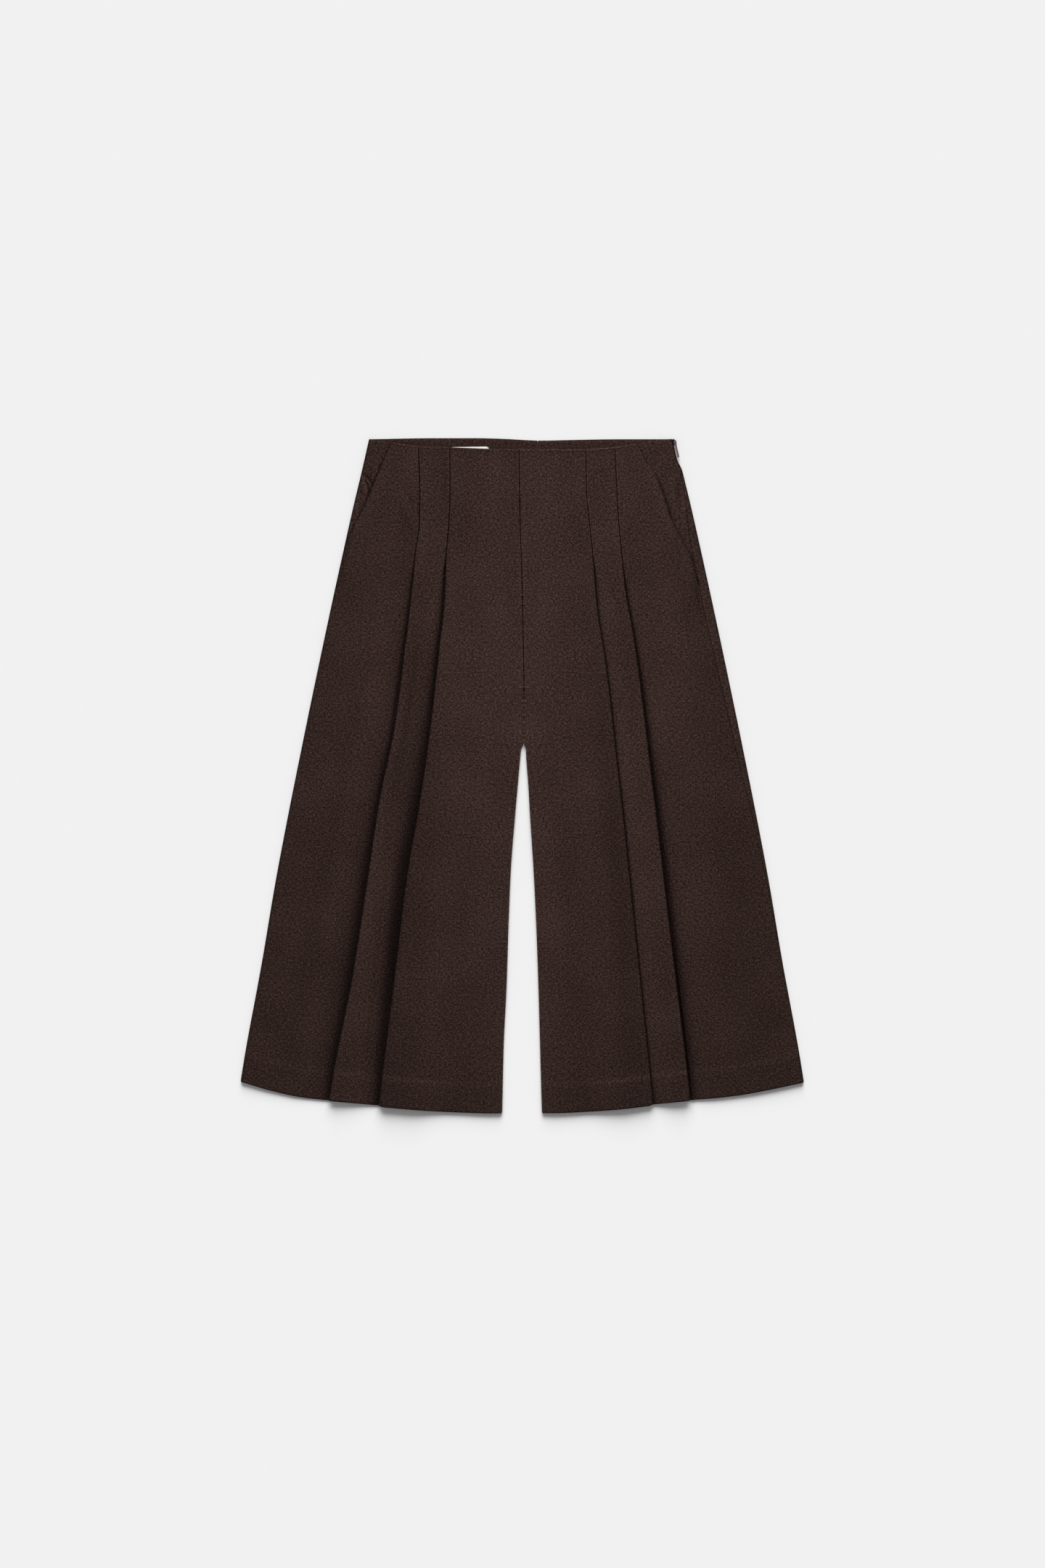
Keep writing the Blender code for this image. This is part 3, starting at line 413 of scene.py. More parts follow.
# ---- the lie of the garment, as the solids have it --------------------------------------------------------
def half_width(side, row):
    below = (1.0 - row) * FRONT_WAIST[-1].right + row * getattr(HEM[-1], side)
    notch = ZIP_NOTCH * (1.0 - smooth(below, *ZIP_NOTCH_END)) if side == "left" else 0.0
    return curve(OUTLINE, "below", "half_width", below) - notch


def front_below(side, out, row):
    share = clamp(out / half_width(side, row))
    waist = curve(FRONT_WAIST, "share", side, share)
    return (1.0 - row) * waist + row * curve(HEM, "share", side, share)


def back_below(side, out, row):
    share = clamp(out / half_width(side, row))
    waist = curve(BACK_WAIST, "across", "below", out_of(side, out))
    hem = curve(HEM, "share", side, share) + BACK_HEM_DROP * (1.0 - smooth(share, *BACK_HEM_SHARE))
    return (1.0 - row) * waist + row * hem


def out_of(side, across):
    """Distance out on one side from a place across the whole, and the same the other way round."""
    return -across if side == "right" else across


def inner_edge(side, layer, below):
    """The edge of a piece by the middle seam or the inseam."""
    if below < CROTCH:
        level = smooth(below, CROTCH - SEAM_SUNK_END[0], CROTCH - SEAM_SUNK_END[1])
        sunk = SEAM_SUNK * (1.0 - level) if layer == "front" else 0.0
        return out_of(side, curve(MIDDLE, "below", layer, below)) + SEAM_GAP / 2 + sunk
    if below < INSEAM[0].below:
        top = out_of(side, MIDDLE[-1].front) + SEAM_GAP / 2
        return top + (out_of(side, getattr(INSEAM[0], side)) - top) * smooth(below, CROTCH, INSEAM[0].below)
    return out_of(side, curve(INSEAM, "below", side, below))


class Row:
    """What the paths need to know about one row of one side."""

    def __init__(self, side, row):
        self.side = side
        self.row = row
        self.cloth = CLOTH + HEM_EXTRA * smooth(row, HEM_START, HEM_START + HEM_STEP)
        self.pitch = self.cloth + LAYER_GAP
        self.half_width = half_width(side, row)
        self.radius = (self.cloth + SIDE_HOLLOW) / 2
        self.quarter = math.pi / 2 * self.radius
        self.base = self.pitch + self.pitch * (1.0 - smooth(row, *WAIST_FACING_STEP))
        self.leg = smooth(row, *CROTCH_ROLL)
        self.side_below = front_below(side, self.half_width, row)
        self.seam = curve(SIDE_SEAM[side], "below", "along", self.side_below)
        end = MOUTH_END[side]
        self.tuck = smooth(row, end, end + MOUTH_TUCK)
        self.pocket = 1.0 - smooth(row, end + MOUTH_CLOSE[0], end + MOUTH_CLOSE[1])
        self.folds = {name: self.crossing(PLEATS[side], name) for name in ("inner", "outer")}
        self.crowns = {}
        for name, fold in (("inner", "inner"), ("root", "inner"), ("strip", "outer"), ("outer", "outer")):
            below = front_below(side, self.folds[fold], row)
            self.crowns[name] = curve(CROWNS[side], "below", name, below)
        self.mouth = self.half_width - self.solve(self.mouth_line)
        self.depth = {name: waist + (hem - waist) * row for name, (waist, hem) in PLEAT_DEPTH.items()}
        self.sewn = 1.0 - smooth(row, *STITCHED)

    def solve(self, line, below_of=front_below):
        """Distance out at which a line, given by depth, crosses this row."""
        out = SOLVE_FROM
        for _ in range(SOLVE_STEPS):
            out = line(below_of(self.side, out, self.row))
        return out

    def crossing(self, table, column):
        return self.solve(lambda below: curve(table, "below", column, below))

    def mouth_line(self, below):
        return self.half_width - curve(MOUTH[self.side], "below", "inset", below)

    def inner(self, layer, below_of):
        return self.solve(lambda below: inner_edge(self.side, layer, below), below_of)

    def ground(self, out, edge=0.0):
        """Height of the underside of one layer of front, on whatever lies under it."""
        height = self.base
        top = self.cloth + SIDE_HOLLOW
        flat = self.half_width - FLAT_BY_SIDE[self.side] - self.cloth / 2
        height += (top - self.base) * smooth(out, flat - SIDE_EASE, flat)
        height += (top - self.base) * self.leg * (1.0 - smooth(out, edge, edge + SIDE_EASE))
        return height + self.over_label(out)

    def over_label(self, out):
        middle = out_of(self.side, LABEL["across"])
        reach = LABEL["width"] / 2 + 1.0
        beside = smooth(abs(out - middle), reach, reach + LABEL_RAMP)
        under = smooth(self.row, *LABEL_ROWS)
        return (LABEL["thick"] + LAYER_GAP) * (1.0 - beside) * (1.0 - under)

    def round_side(self, along, lift=0.0, drop=0.0):
        """A point at a length of cloth from the outermost edge: positive over it, negative under it."""
        centre = self.half_width - self.cloth / 2 - self.radius
        if along >= self.quarter:
            out = centre - (along - self.quarter)
            return out, self.ground(out) + self.cloth / 2 + lift - drop
        if along <= -self.quarter:
            return centre + (along + self.quarter), self.cloth / 2
        angle = along / self.radius
        reach = self.radius + lift - drop
        return centre + reach * math.cos(angle), self.cloth / 2 + self.radius + reach * math.sin(angle)

    def along_of_inset(self, inset):
        return inset - self.cloth / 2 - self.radius + self.quarter

    # How the cloth stands over that lie.
    def inner_crown(self, out, edge):
        share = clamp((out - edge) / (self.folds["inner"] - edge))
        if self.side == "right":
            return self.crowns["inner"] * math.sin(math.pi / 2 * share)
        rise = 1.0 - (1.0 - min(1.0, share / INNER_CREST)) ** 2
        return self.crowns["inner"] * (rise - INNER_FALL * smooth(share, 1.0 - INNER_FALL_WIDE, 1.0))

    def strip_crown(self, out):
        root, fold = self.folds["inner"], self.folds["outer"]
        share = clamp((out - root) / (fold - root))
        leaving = self.crowns["root"] * (1.0 - smooth(share))
        return leaving + self.crowns["strip"] * share ** STRIP_RISE[self.side]

    def outer_crown(self, out):
        root = self.folds["outer"]
        sewn_end = root + SEWN_START + SEWN_RAMP
        level = smooth(out, root + SEWN_START, sewn_end) * (1.0 - smooth(out, sewn_end, root + SEWN_EASE))
        height = SEWN_LIFT * self.pitch * level * self.sewn
        crest = root + CREST[self.side] * (self.half_width - root)
        if out < crest:
            share = clamp((out - root) / (crest - root))
            if self.side == "left":
                return height + self.crowns["outer"] * (1.0 - (1.0 - share) ** 3)
            return height + self.crowns["outer"] * smooth(share ** OUTER_RISE[self.side])
        return height + self.crowns["outer"] * (1.0 - smooth(out, crest, self.half_width - CREST_END))

    def under_fold(self, out, name, crown):
        """Height that the cloth under a fold takes from it, back to where it turns."""
        fold = self.folds[name]
        depth = self.depth[name]
        share = clamp((out - (fold - depth)) / depth)
        return crown * share**UNDER_RISE


# ---- paths across a row: lists of (out, height) for the middle of the wall --------------------------------
def spread(start, end, count):
    """Evenly spaced values after start, up to end."""
    return [start + (end - start) * (k + 1) / count for k in range(count)]


def turn(out, top, pitch, way, count):
    """Half turn down from a layer to the one under it, bulging to the side that way says."""
    points = []
    for k in range(count + 1):
        angle = math.pi / 2 - math.pi * k / count
        points.append((out + way * pitch / 2 * math.cos(angle), top - pitch / 2 + pitch / 2 * math.sin(angle)))
    return points


def pleat(row, name, crown):
    """From the top of a fold, back under it, and out again at the level of the cloth under it."""
    half = row.cloth / 2
    fold = row.folds[name]
    reach = (row.pitch + row.cloth) / 2
    outer = fold - reach
    inner = fold - row.depth[name] + reach
    top = row.ground(outer) + half + 2 * row.pitch + crown
    points = turn(outer, top, row.pitch, 1, PLEAT_POINTS["fold"])
    for out in spread(outer, inner, PLEAT_POINTS["under"])[:-1]:
        points.append((out, row.ground(out) + half + row.pitch + row.under_fold(out, name, crown)))
    points += turn(inner, row.ground(inner) + half + row.pitch, row.pitch, -1, PLEAT_POINTS["back"])
    root = row.crowns["root"] if name == "inner" else 0.0
    for out in spread(inner, fold - ROOT_END, PLEAT_POINTS["root"]):
        points.append((out, row.ground(out) + half + row.under_fold(out, name, root)))
    return points


def seam_roll(row, layer, below_of):
    """Where a piece's roll to the middle seam or inseam begins, and through what angle it goes."""
    roll = SEAM_ROLL[layer]
    sweep = math.radians(roll + (90.0 - roll) * row.leg) - row.leg * SEAM_GAP / 2 / row.radius
    return row.inner(layer, below_of) + (row.radius + row.cloth / 2) * math.sin(sweep), sweep


def front_path(row):
    inner_fold = row.folds["inner"]
    outer_fold = row.folds["outer"]
    half = row.cloth / 2
    reach = (row.pitch + row.cloth) / 2
    start, sweep = seam_roll(row, "front", front_below)
    top = row.ground(start, start) + half
    points = []
    for share in ROLL_SHARES:
        angle = sweep * share
        points.append((start - row.radius * math.sin(angle), top - row.radius * (1.0 - math.cos(angle))))

    climb_end = inner_fold - row.depth["inner"] - CLIMB_CLEAR["inner"]
    climb = climb_end - INNER_RAMP
    close = start + CLOSE["seam"]
    outs = [start] + spread(start, close, POINTS["seam"])
    for out in outs + spread(close, inner_fold - reach, POINTS["inner"])[:-1]:
        up = 2 * row.pitch * smooth(out, climb, climb_end)
        points.append((out, row.ground(out, start) + half + up + row.inner_crown(out, start)))
    points += pleat(row, "inner", row.inner_crown(inner_fold - reach, start))

    climb = inner_fold + CLIMB_FREE + (SEWN_START - CLIMB_FREE) * row.sewn
    free_end = outer_fold - row.depth["outer"] - CLIMB_CLEAR["outer"]
    climb_end = free_end + (climb + SEWN_RAMP - free_end) * row.sewn
    first = inner_fold + PAST_FOLD["inner"]
    outs = [first] + spread(first, max(climb_end, inner_fold + CLIMB_LEAST), POINTS["climb"])
    for out in outs + spread(outs[-1], outer_fold - reach, POINTS["strip"])[:-1]:
        up = 2 * row.pitch * smooth(out, climb, climb_end)
        points.append((out, row.ground(out) + half + up + row.strip_crown(out)))
    points += pleat(row, "outer", row.strip_crown(outer_fold - reach))
    return points + front_side(row, outer_fold)


def front_side(row, outer_fold):
    """The outer panel, over the pocket facing, to its own side edge."""
    seam = row.seam + SEAM_GAP / 2
    mouth = row.along_of_inset(row.mouth)
    end = seam + (mouth - seam) * (1.0 - row.tuck)
    end_out = row.half_width - row.mouth
    foot = end_out - FACING_UNDERLAP - POCKET_MARGIN
    ramp = max(outer_fold + POCKET_LEAST[0], foot - POCKET_RAMP)
    gape = MOUTH_GAPE[row.side] * math.sin(math.pi * clamp(row.row / MOUTH_END[row.side]))

    def lift(out, along):
        on_facing = smooth(out, ramp, max(foot, ramp + POCKET_LEAST[1])) * row.pocket
        at_edge = smooth(along, row.seam + POCKET_SEAM[0], row.seam + POCKET_SEAM[1])
        return (row.cloth + POCKET_GAP) * on_facing * (1.0 - row.tuck * (1.0 - at_edge))

    last = row.round_side(end + EDGE_LAST)[0]
    first = outer_fold + PAST_FOLD["outer"]
    close = outer_fold + CLOSE["beside"]
    points = []
    for out in [first] + spread(first, close, POINTS["beside"]) + spread(close, last, POINTS["outer"]):
        along = row.along_of_inset(row.half_width - out)
        open_up = gape * smooth(out, last - GAPE_WIDE, last)
        height = row.ground(out) + row.cloth / 2 + lift(out, along) + open_up
        points.append((out, height + row.outer_crown(out)))
    return points + last_stretch(row, end, lambda out, along: lift(out, along) + gape)


def edge_drop(row, end, share):
    """How far an edge sinks where it lies on top. Round the outermost edge it can't."""
    return EDGE_DROP * (1.0 - share) ** 2 * smooth(end, 0.5, row.quarter + 1.0)


def last_stretch(row, end, lift):
    """The last points of a piece that lies on the front side, up to its side edge."""
    points = []
    for share in LAST_SHARES:
        along = end + EDGE_LAST * share
        out = row.round_side(along)[0]
        points.append(row.round_side(along, lift(out, along) + row.outer_crown(out), edge_drop(row, end, share)))
    return points


def back_path(row):
    half = row.cloth / 2
    start, sweep = seam_roll(row, "back", back_below)
    points = []
    for share in (*ROLL_SHARES, 0.0):
        angle = sweep * share
        points.append((start - row.radius * math.sin(angle), half + row.radius * (1.0 - math.cos(angle))))
    under = row.round_side(-row.quarter)[0]
    points += [(out, half) for out in spread(start, under, 12)]
    end = row.seam - SEAM_GAP / 2
    if row.side == "right":
        alongs = spread(-row.quarter, end, 8)
    else:
        split = clamp(end - EDGE_LAST, -row.quarter / 2, row.quarter)
        alongs = spread(-row.quarter, split, 9) + spread(split, end, 6)
    for along in alongs:
        share = clamp((end - along) / EDGE_LAST)
        points.append(row.round_side(along, 0.0, edge_drop(row, end, share)))
    return points


def pocket_facing_path(row):
    end = row.seam + SEAM_GAP / 2 + MOUTH_TUCK_INSET * row.tuck
    hidden = row.half_width - row.mouth - FACING_UNDERLAP
    last = row.round_side(end + EDGE_LAST)[0]
    outs = [hidden] + spread(hidden, last, POCKET_POINTS)
    points = [(out, row.ground(out) + row.cloth / 2 + row.outer_crown(out)) for out in outs]
    return points + last_stretch(row, end, lambda out, along: 0.0)


def facing_below(side, out, share):
    top = back_below(side, out, 0.0) + WAIST_FACING_DOWN
    foot = front_below(side, out, WAIST_FACING_ROW)
    return top + (foot - top) * share / WAIST_FACING_ROW


def waist_facing_path(row):
    """Half of the band inside the back waist, flat on the back, with ridges where its middle seam is pressed."""
    start = out_of(row.side, MIDDLE[0].back) + SEAM_GAP / 2
    end = half_width(row.side, 0.0) - WAIST_FACING_SIDE[row.side]
    low = CLOTH + LAYER_GAP + CLOTH / 2
    points = []
    for out in [start] + spread(start, end, WAIST_FACING_POINTS):
        x = out_of(row.side, out) - MIDDLE[0].back
        near = bell(x - SEAM_RIDGE_MIDDLE, SEAM_RIDGE_REACH)
        points.append((out, low + SEAM_RIDGE_HIGH * near * math.cos(math.tau * x / SEAM_RIDGE_PITCH)))
    return points


# ---- walls ------------------------------------------------------------------------------------------------
def directions(path):
    """Which way the path runs at each point. At an end it goes on turning as it did before it."""
    chords = [math.atan2(b[1] - a[1], b[0] - a[0]) for a, b in zip(path, path[1:])]
    turns = [math.remainder(after - before, math.tau) for before, after in zip(chords, chords[1:])]
    ways = [(chords[0] - turns[0] / 2, 0.0)]
    ways += [(chord + bend / 2, bend / 2) for chord, bend in zip(chords, turns)]
    return ways + [(chords[-1] + turns[-1] / 2, 0.0)]


def hang(row, out):
    """Extra depth of the folds over the cloth under them, near the hem."""
    inner, outer = row.folds["inner"], row.folds["outer"]
    drop = HEM_DROP["inner"] * (1.0 - smooth(out, inner - HEM_DROP_EASE, inner))
    drop += HEM_DROP["strip"] * (1.0 - smooth(out, outer - HEM_DROP_EASE, outer))
    return drop * smooth(row.row, *HEM_DROP_ROWS)


def crease_height(crease, out, below):
    """Height of one crease at many places: a ridge along a bent line, dying out at its ends."""
    best = np.full(out.shape, 1e9)
    at = np.zeros(out.shape)
    previous = None
    outs = (crease.out_1, crease.out_2, crease.out_3)
    belows = (crease.below_1, crease.below_2, crease.below_3)
    for k in range(CREASE_STEPS + 1):
        s = k / CREASE_STEPS
        weights = ((1 - s) ** 2, 2 * s * (1 - s), s * s)
        here = np.array([np.dot(weights, outs), np.dot(weights, belows)])
        if previous is not None:
            run = here - previous
            share = ((out - previous[0]) * run[0] + (below - previous[1]) * run[1]) / (run @ run)
            share = np.clip(share, 0.0, 1.0)
            away = np.hypot(out - previous[0] - share * run[0], below - previous[1] - share * run[1])
            nearer = away < best
            best = np.where(nearer, away, best)
            at = np.where(nearer, (k - 1 + share) / CREASE_STEPS, at)
        previous = here
    fade = np.sin(np.pi * np.clip(at, 0.0, 1.0)) ** CREASE_FADE
    return crease.height * fade * bell(best, crease.half_width)


def relief(side, out, below, creases):
    """Height of the creases and slow waves at many places."""
    height = np.zeros(out.shape)
    for crease in creases:
        height += crease_height(crease, out, below)
    x = out_of(side, out)
    for wave in WAVES:
        angle = math.radians(wave.direction)
        phase = math.tau * (x * math.cos(angle) + below * math.sin(angle)) / wave.length + wave.start
        height += wave.height * np.sin(phase)
    return height


def side_rows(first, last, step_wanted=ROW_STEP):
    """Rows from first to last, closer together by the waist, the hem line and the hem."""
    count = max(2, round((last - first) / step_wanted))
    rows = {round(first + (last - first) * k / count, 6) for k in range(count + 1)}
    for place, reach, step in CLOSE_ROWS:
        k = -round(reach / step)
        while k * step <= reach:
            row = round(place + k * step, 6)
            if first <= row <= last:
                rows.add(row)
            k += 1
    kept = []
    for row in sorted(rows):
        if not kept or row - kept[-1] > LEAST_STEP:
            kept.append(row)
    kept[-1] = last
    return kept


def cloth_shell(name, side, rows, path_of, below_of, creases, extra=None, hemmed=False):
    """One cloth piece as a closed thin shell, with its creases, a UV map in metres and marks for its sewing."""
    outer_face, inner_face, lengths, marks = [], [], [], []
    for share in rows:
        row = Row(side, share)
        path = path_of(row)
        length = 0.0
        line_out, line_in, line_length, line_mark = [], [], [], []
        for k, ((out, height), (way, half_turn)) in enumerate(zip(path, directions(path))):
            offset = row.cloth / 2 / math.cos(half_turn) * edge_round(share, rows, k, len(path))
            if k:
                length += math.dist(path[k - 1], path[k])
            below = below_of(side, out, share) + (extra(row, out) if extra else 0.0)
            line_out.append((out - math.sin(way) * offset, below, height + math.cos(way) * offset))
            line_in.append((out + math.sin(way) * offset, below, height - math.cos(way) * offset))
            line_length.append((length, below))
            line_mark.append(sewing_mark(row, out, below, path_of))
        outer_face.append(line_out)
        inner_face.append(line_in)
        lengths.append(line_length)
        marks.append(line_mark)
    faces = np.array([outer_face, inner_face])
    middle = faces.mean(axis=0)
    height = relief(side, middle[..., 0], middle[..., 1], creases)
    down = np.array(rows)[:, None]
    if hemmed:
        wide, high = HEM_RIDGE
        height = height + high * bell(down - HEM_LINE, wide)
    if path_of is front_path:
        place, wide, high = WAIST_ROLL
        height = height + high * bell(LENGTH * down - place, wide)
    deepest = DEEPEST["facing" if path_of is pocket_facing_path else "cloth"]
    faces[..., 2] += np.maximum(height, deepest) * np.vectorize(smooth)(middle[..., 2], *RELIEF_FREE)
    return shell_object(name, side, faces, np.array(lengths), np.array(marks))


def edge_round(share, rows, k, count):
    """Share of the wall that is left at point k of a row."""
    at_side = EDGE_ROUND if k in (0, count - 1) else 1.0
    if k == 0:
        at_side = SEAM_ROUND + (1.0 - SEAM_ROUND) * smooth(share, CROTCH_ROLL[0] - 0.03, CROTCH_ROLL[0])
    least, reach = END_ROUND
    from_end = LENGTH * min(share - rows[0], rows[-1] - share)
    return min(at_side, least + (1.0 - least) * smooth(from_end, 0.0, reach))


def sewing_mark(row, out, below, path_of):
    """How strongly the cloth puckers at a seam or a stitched fold nearby."""

    def beside(place, distance):
        strength, reach, sewn_at = PUCKER[place]
        return strength * bell(distance - sewn_at, reach)

    if path_of is not front_path:
        return beside("side", row.half_width - out)
    mark = 0.0
    for name in ("inner", "outer"):
        before, after = PUCKER_END
        stitched = 1.0 - smooth(below, STITCHED_TO[name] - before, STITCHED_TO[name] + after)
        mark += beside("fold", out - row.folds[name]) * stitched
    mark += beside("middle", out) * (1.0 - row.leg)
    mark += beside("waist", below - front_below(row.side, out, 0.0))
    return mark + beside("mouth", row.half_width - row.mouth - out) * (1.0 - row.tuck)


def shell_object(name, side, faces, lengths, marks):
    """faces is (2, rows, points, 3) in millimetres: the outer face and the inner face of one wall."""
    _, rows, count, _ = faces.shape
    ring = np.concatenate([faces[0], faces[1][:, ::-1]], axis=1)
    out, below, height = ring[..., 0], ring[..., 1], ring[..., 2]
    points = np.stack([out_of(side, out), LENGTH / 2 - below, height], axis=-1).reshape(-1, 3) * MM
    around = 2 * count
    k, i = np.meshgrid(np.arange(rows - 1), np.arange(around), indexing="ij")
    j = (i + 1) % around
    quads = np.stack([k * around + i, k * around + j, (k + 1) * around + j, (k + 1) * around + i], axis=-1)
    caps = []
    for row in (0, rows - 1):
        a = row * around + np.arange(count - 1)
        b = row * around + around - 1 - np.arange(count - 1)
        caps.append(np.stack([a, a + 1, b - 1, b], axis=-1))
    quads = np.concatenate([quads.reshape(-1, 4)] + caps)
    obj = new_piece(name, points.tolist(), quads.tolist())
    mesh = obj.data
    uv = np.concatenate([lengths, lengths[:, ::-1]], axis=1).reshape(-1, 2) * MM
    mark = np.concatenate([marks, marks[:, ::-1]], axis=1).reshape(-1)
    layer = mesh.uv_layers.new(name="cloth")
    corner = np.empty(len(mesh.loops), np.int32)
    mesh.loops.foreach_get("vertex_index", corner)
    layer.data.foreach_set("uv", uv[corner].astype(np.float32).ravel())
    attribute = mesh.attributes.new("pucker", "FLOAT", "POINT")
    attribute.data.foreach_set("value", mark.astype(np.float32))
    mesh.shade_smooth()
    mesh.set_sharp_from_angle(angle=math.radians(SHARP["cloth"]))
    return obj, cut_size(lengths)


def new_piece(name, points, faces):
    mesh = bpy.data.meshes.new(name)
    mesh.from_pydata(points, [], faces)
    obj = bpy.data.objects.new(name, mesh)
    bpy.context.scene.collection.objects.link(obj)
    turn_outwards(obj)
    return obj


def bar(points, faces, rings):
    """Adds a closed bar through rings of points of the same count."""
    first, count = len(points), len(rings[0])
    points += [point for ring in rings for point in ring]
    for k in range(len(rings) - 1):
        for i in range(count):
            a, b = first + k * count + i, first + k * count + (i + 1) % count
            faces.append((a, b, b + count, a + count))
    faces.append(tuple(first + i for i in reversed(range(count))))
    faces.append(tuple(len(points) - count + i for i in range(count)))


def cut_size(lengths):
    """What the piece was cut to, as it shows: width and length of its cloth, and its flat area, in metres."""
    wide = lengths[..., 0].max(axis=1)
    deep = lengths[..., 1].mean(axis=1)
    area = float((0.5 * (wide[1:] + wide[:-1]) * np.diff(deep)).sum()) * MM * MM
    width = float(wide.max()) * MM
    length = float(lengths[..., 1].max() - lengths[..., 1].min()) * MM
    return (round(width, 4), round(length, 4)), round(area, 5)


def turn_outwards(obj):
    work = bmesh.new()
    work.from_mesh(obj.data)
    bmesh.ops.recalc_face_normals(work, faces=work.faces)
    work.to_mesh(obj.data)
    work.free()


# ---- materials --------------------------------------------------------------------------------------------
def new_group(name, inputs, outputs):
    """An empty node group with named sockets."""
    group = bpy.data.node_groups.new(name, "ShaderNodeTree")
    for label, kind, value in inputs:
        socket = group.interface.new_socket(name=label, in_out="INPUT", socket_type=kind)
        if value is not None:
            socket.default_value = value
    for label, kind in outputs:
        group.interface.new_socket(name=label, in_out="OUTPUT", socket_type=kind)
    start = group.nodes.new("NodeGroupInput")
    end = group.nodes.new("NodeGroupOutput")
    return group, start, end


def node(tree, kind, inputs=None, **settings):
    """One node with its settings and inputs. An input is a value or another node's output."""
    made = tree.nodes.new(kind)
    for name, value in settings.items():
        setattr(made, name, value)
    for key, value in (inputs or {}).items():
        socket = made.inputs[key]
        if isinstance(value, bpy.types.NodeSocket):
            tree.links.new(value, socket)
        else:
            socket.default_value = value
    return made


def maths(tree, operation, first, second=0.0, clamped=False):
    return node(tree, "ShaderNodeMath", {0: first, 1: second}, operation=operation, use_clamp=clamped).outputs[0]


def mixed(tree, share, first, second):
    """A colour between two others."""
    return node(tree, "ShaderNodeMix", {0: share, 6: first, 7: second}, data_type="RGBA").outputs[2]


def noise(tree, place, scale, detail, roughness=0.5):
    inputs = {"Vector": place, "Scale": scale, "Detail": detail, "Roughness": roughness}
    return node(tree, "ShaderNodeTexNoise", inputs).outputs[0]


def fibres(tree, place, scale):
    return noise(tree, place, scale, 3.0, 0.7)


def plus(tree, first, second, share):
    """The first value and a share of the second."""
    return maths(tree, "ADD", first, maths(tree, "MULTIPLY", second, share))


def between(tree, value, low, high):
    return node(tree, "ShaderNodeMapRange", {"Value": value, "To Min": low, "To Max": high}).outputs[0]


def melange_group():
    """Carded wool: lighter and darker fibres along the yarns, a fine twill, and slow unevenness."""
    inputs = [("Vector", "NodeSocketVector", None)]
    inputs += [(label, "NodeSocketColor", (*colour, 1)) for label, colour in WOOL.items()]
    group, start, end = new_group("melange", inputs, [("Color", "NodeSocketColor"), ("Height", "NodeSocketFloat")])
    place = start.outputs["Vector"]
    warp = node(group, "ShaderNodeMapping", {"Vector": place, "Scale": (1.0, 0.42, 1.0)}).outputs[0]
    weft = node(group, "ShaderNodeMapping", {"Vector": place, "Scale": (0.45, 1.0, 1.0)}).outputs[0]
    both = maths(group, "ADD", fibres(group, warp, 900.0), fibres(group, weft, 780.0))
    flecks = plus(group, both, fibres(group, place, 420.0), 0.30)
    flecks = plus(group, flecks, noise(group, place, 14.0, 2.0), 0.12)
    level = node(group, "ShaderNodeMapRange", {"Value": flecks, "From Min": 1.02, "From Max": 1.38}).outputs[0]
    twice = maths(group, "MULTIPLY", level, 2.0)
    dark = mixed(group, maths(group, "ADD", twice, 0.0, True), start.outputs["Dark"], start.outputs["Base"])
    colour = mixed(group, maths(group, "SUBTRACT", twice, 1.0, True), dark, start.outputs["Light"])
    group.links.new(colour, end.inputs["Color"])
    turned = node(group, "ShaderNodeMapping", {"Vector": place, "Rotation": (0.0, 0.0, math.radians(-58))}).outputs[0]
    wave = {"Vector": turned, "Scale": 260.0, "Distortion": 1.2, "Detail": 1.0, "Detail Scale": 2.0}
    twill = node(group, "ShaderNodeTexWave", wave).outputs[1]
    height = plus(group, maths(group, "MULTIPLY", both, 0.7), twill, 0.35)
    group.links.new(height, end.inputs["Height"])
    return group


def pucker_group():
    """Small ripples that sewing draws into cloth, strongest where the piece's pucker mark is."""
    inputs = [("Vector", "NodeSocketVector", None), ("Mark", "NodeSocketFloat", 0.0)]
    group, start, end = new_group("puckers", inputs, [("Height", "NodeSocketFloat")])
    long = node(group, "ShaderNodeMapping", {"Vector": start.outputs["Vector"], "Scale": (0.16, 1.0, 1.0)}).outputs[0]
    ripple = plus(group, noise(group, long, 90.0, 1.0), noise(group, long, 300.0, 1.0), 0.6)
    group.links.new(maths(group, "MULTIPLY", ripple, start.outputs["Mark"]), end.inputs["Height"])
    return group


def principled(name, roughness, **settings):
    made = bpy.data.materials.new(name)
    made.use_nodes = True
    shader = made.node_tree.nodes["Principled BSDF"]
    shader.inputs["Roughness"].default_value = roughness
    for key, value in settings.items():
        shader.inputs[key.replace("_", " ")].default_value = value
    return made, made.node_tree, shader


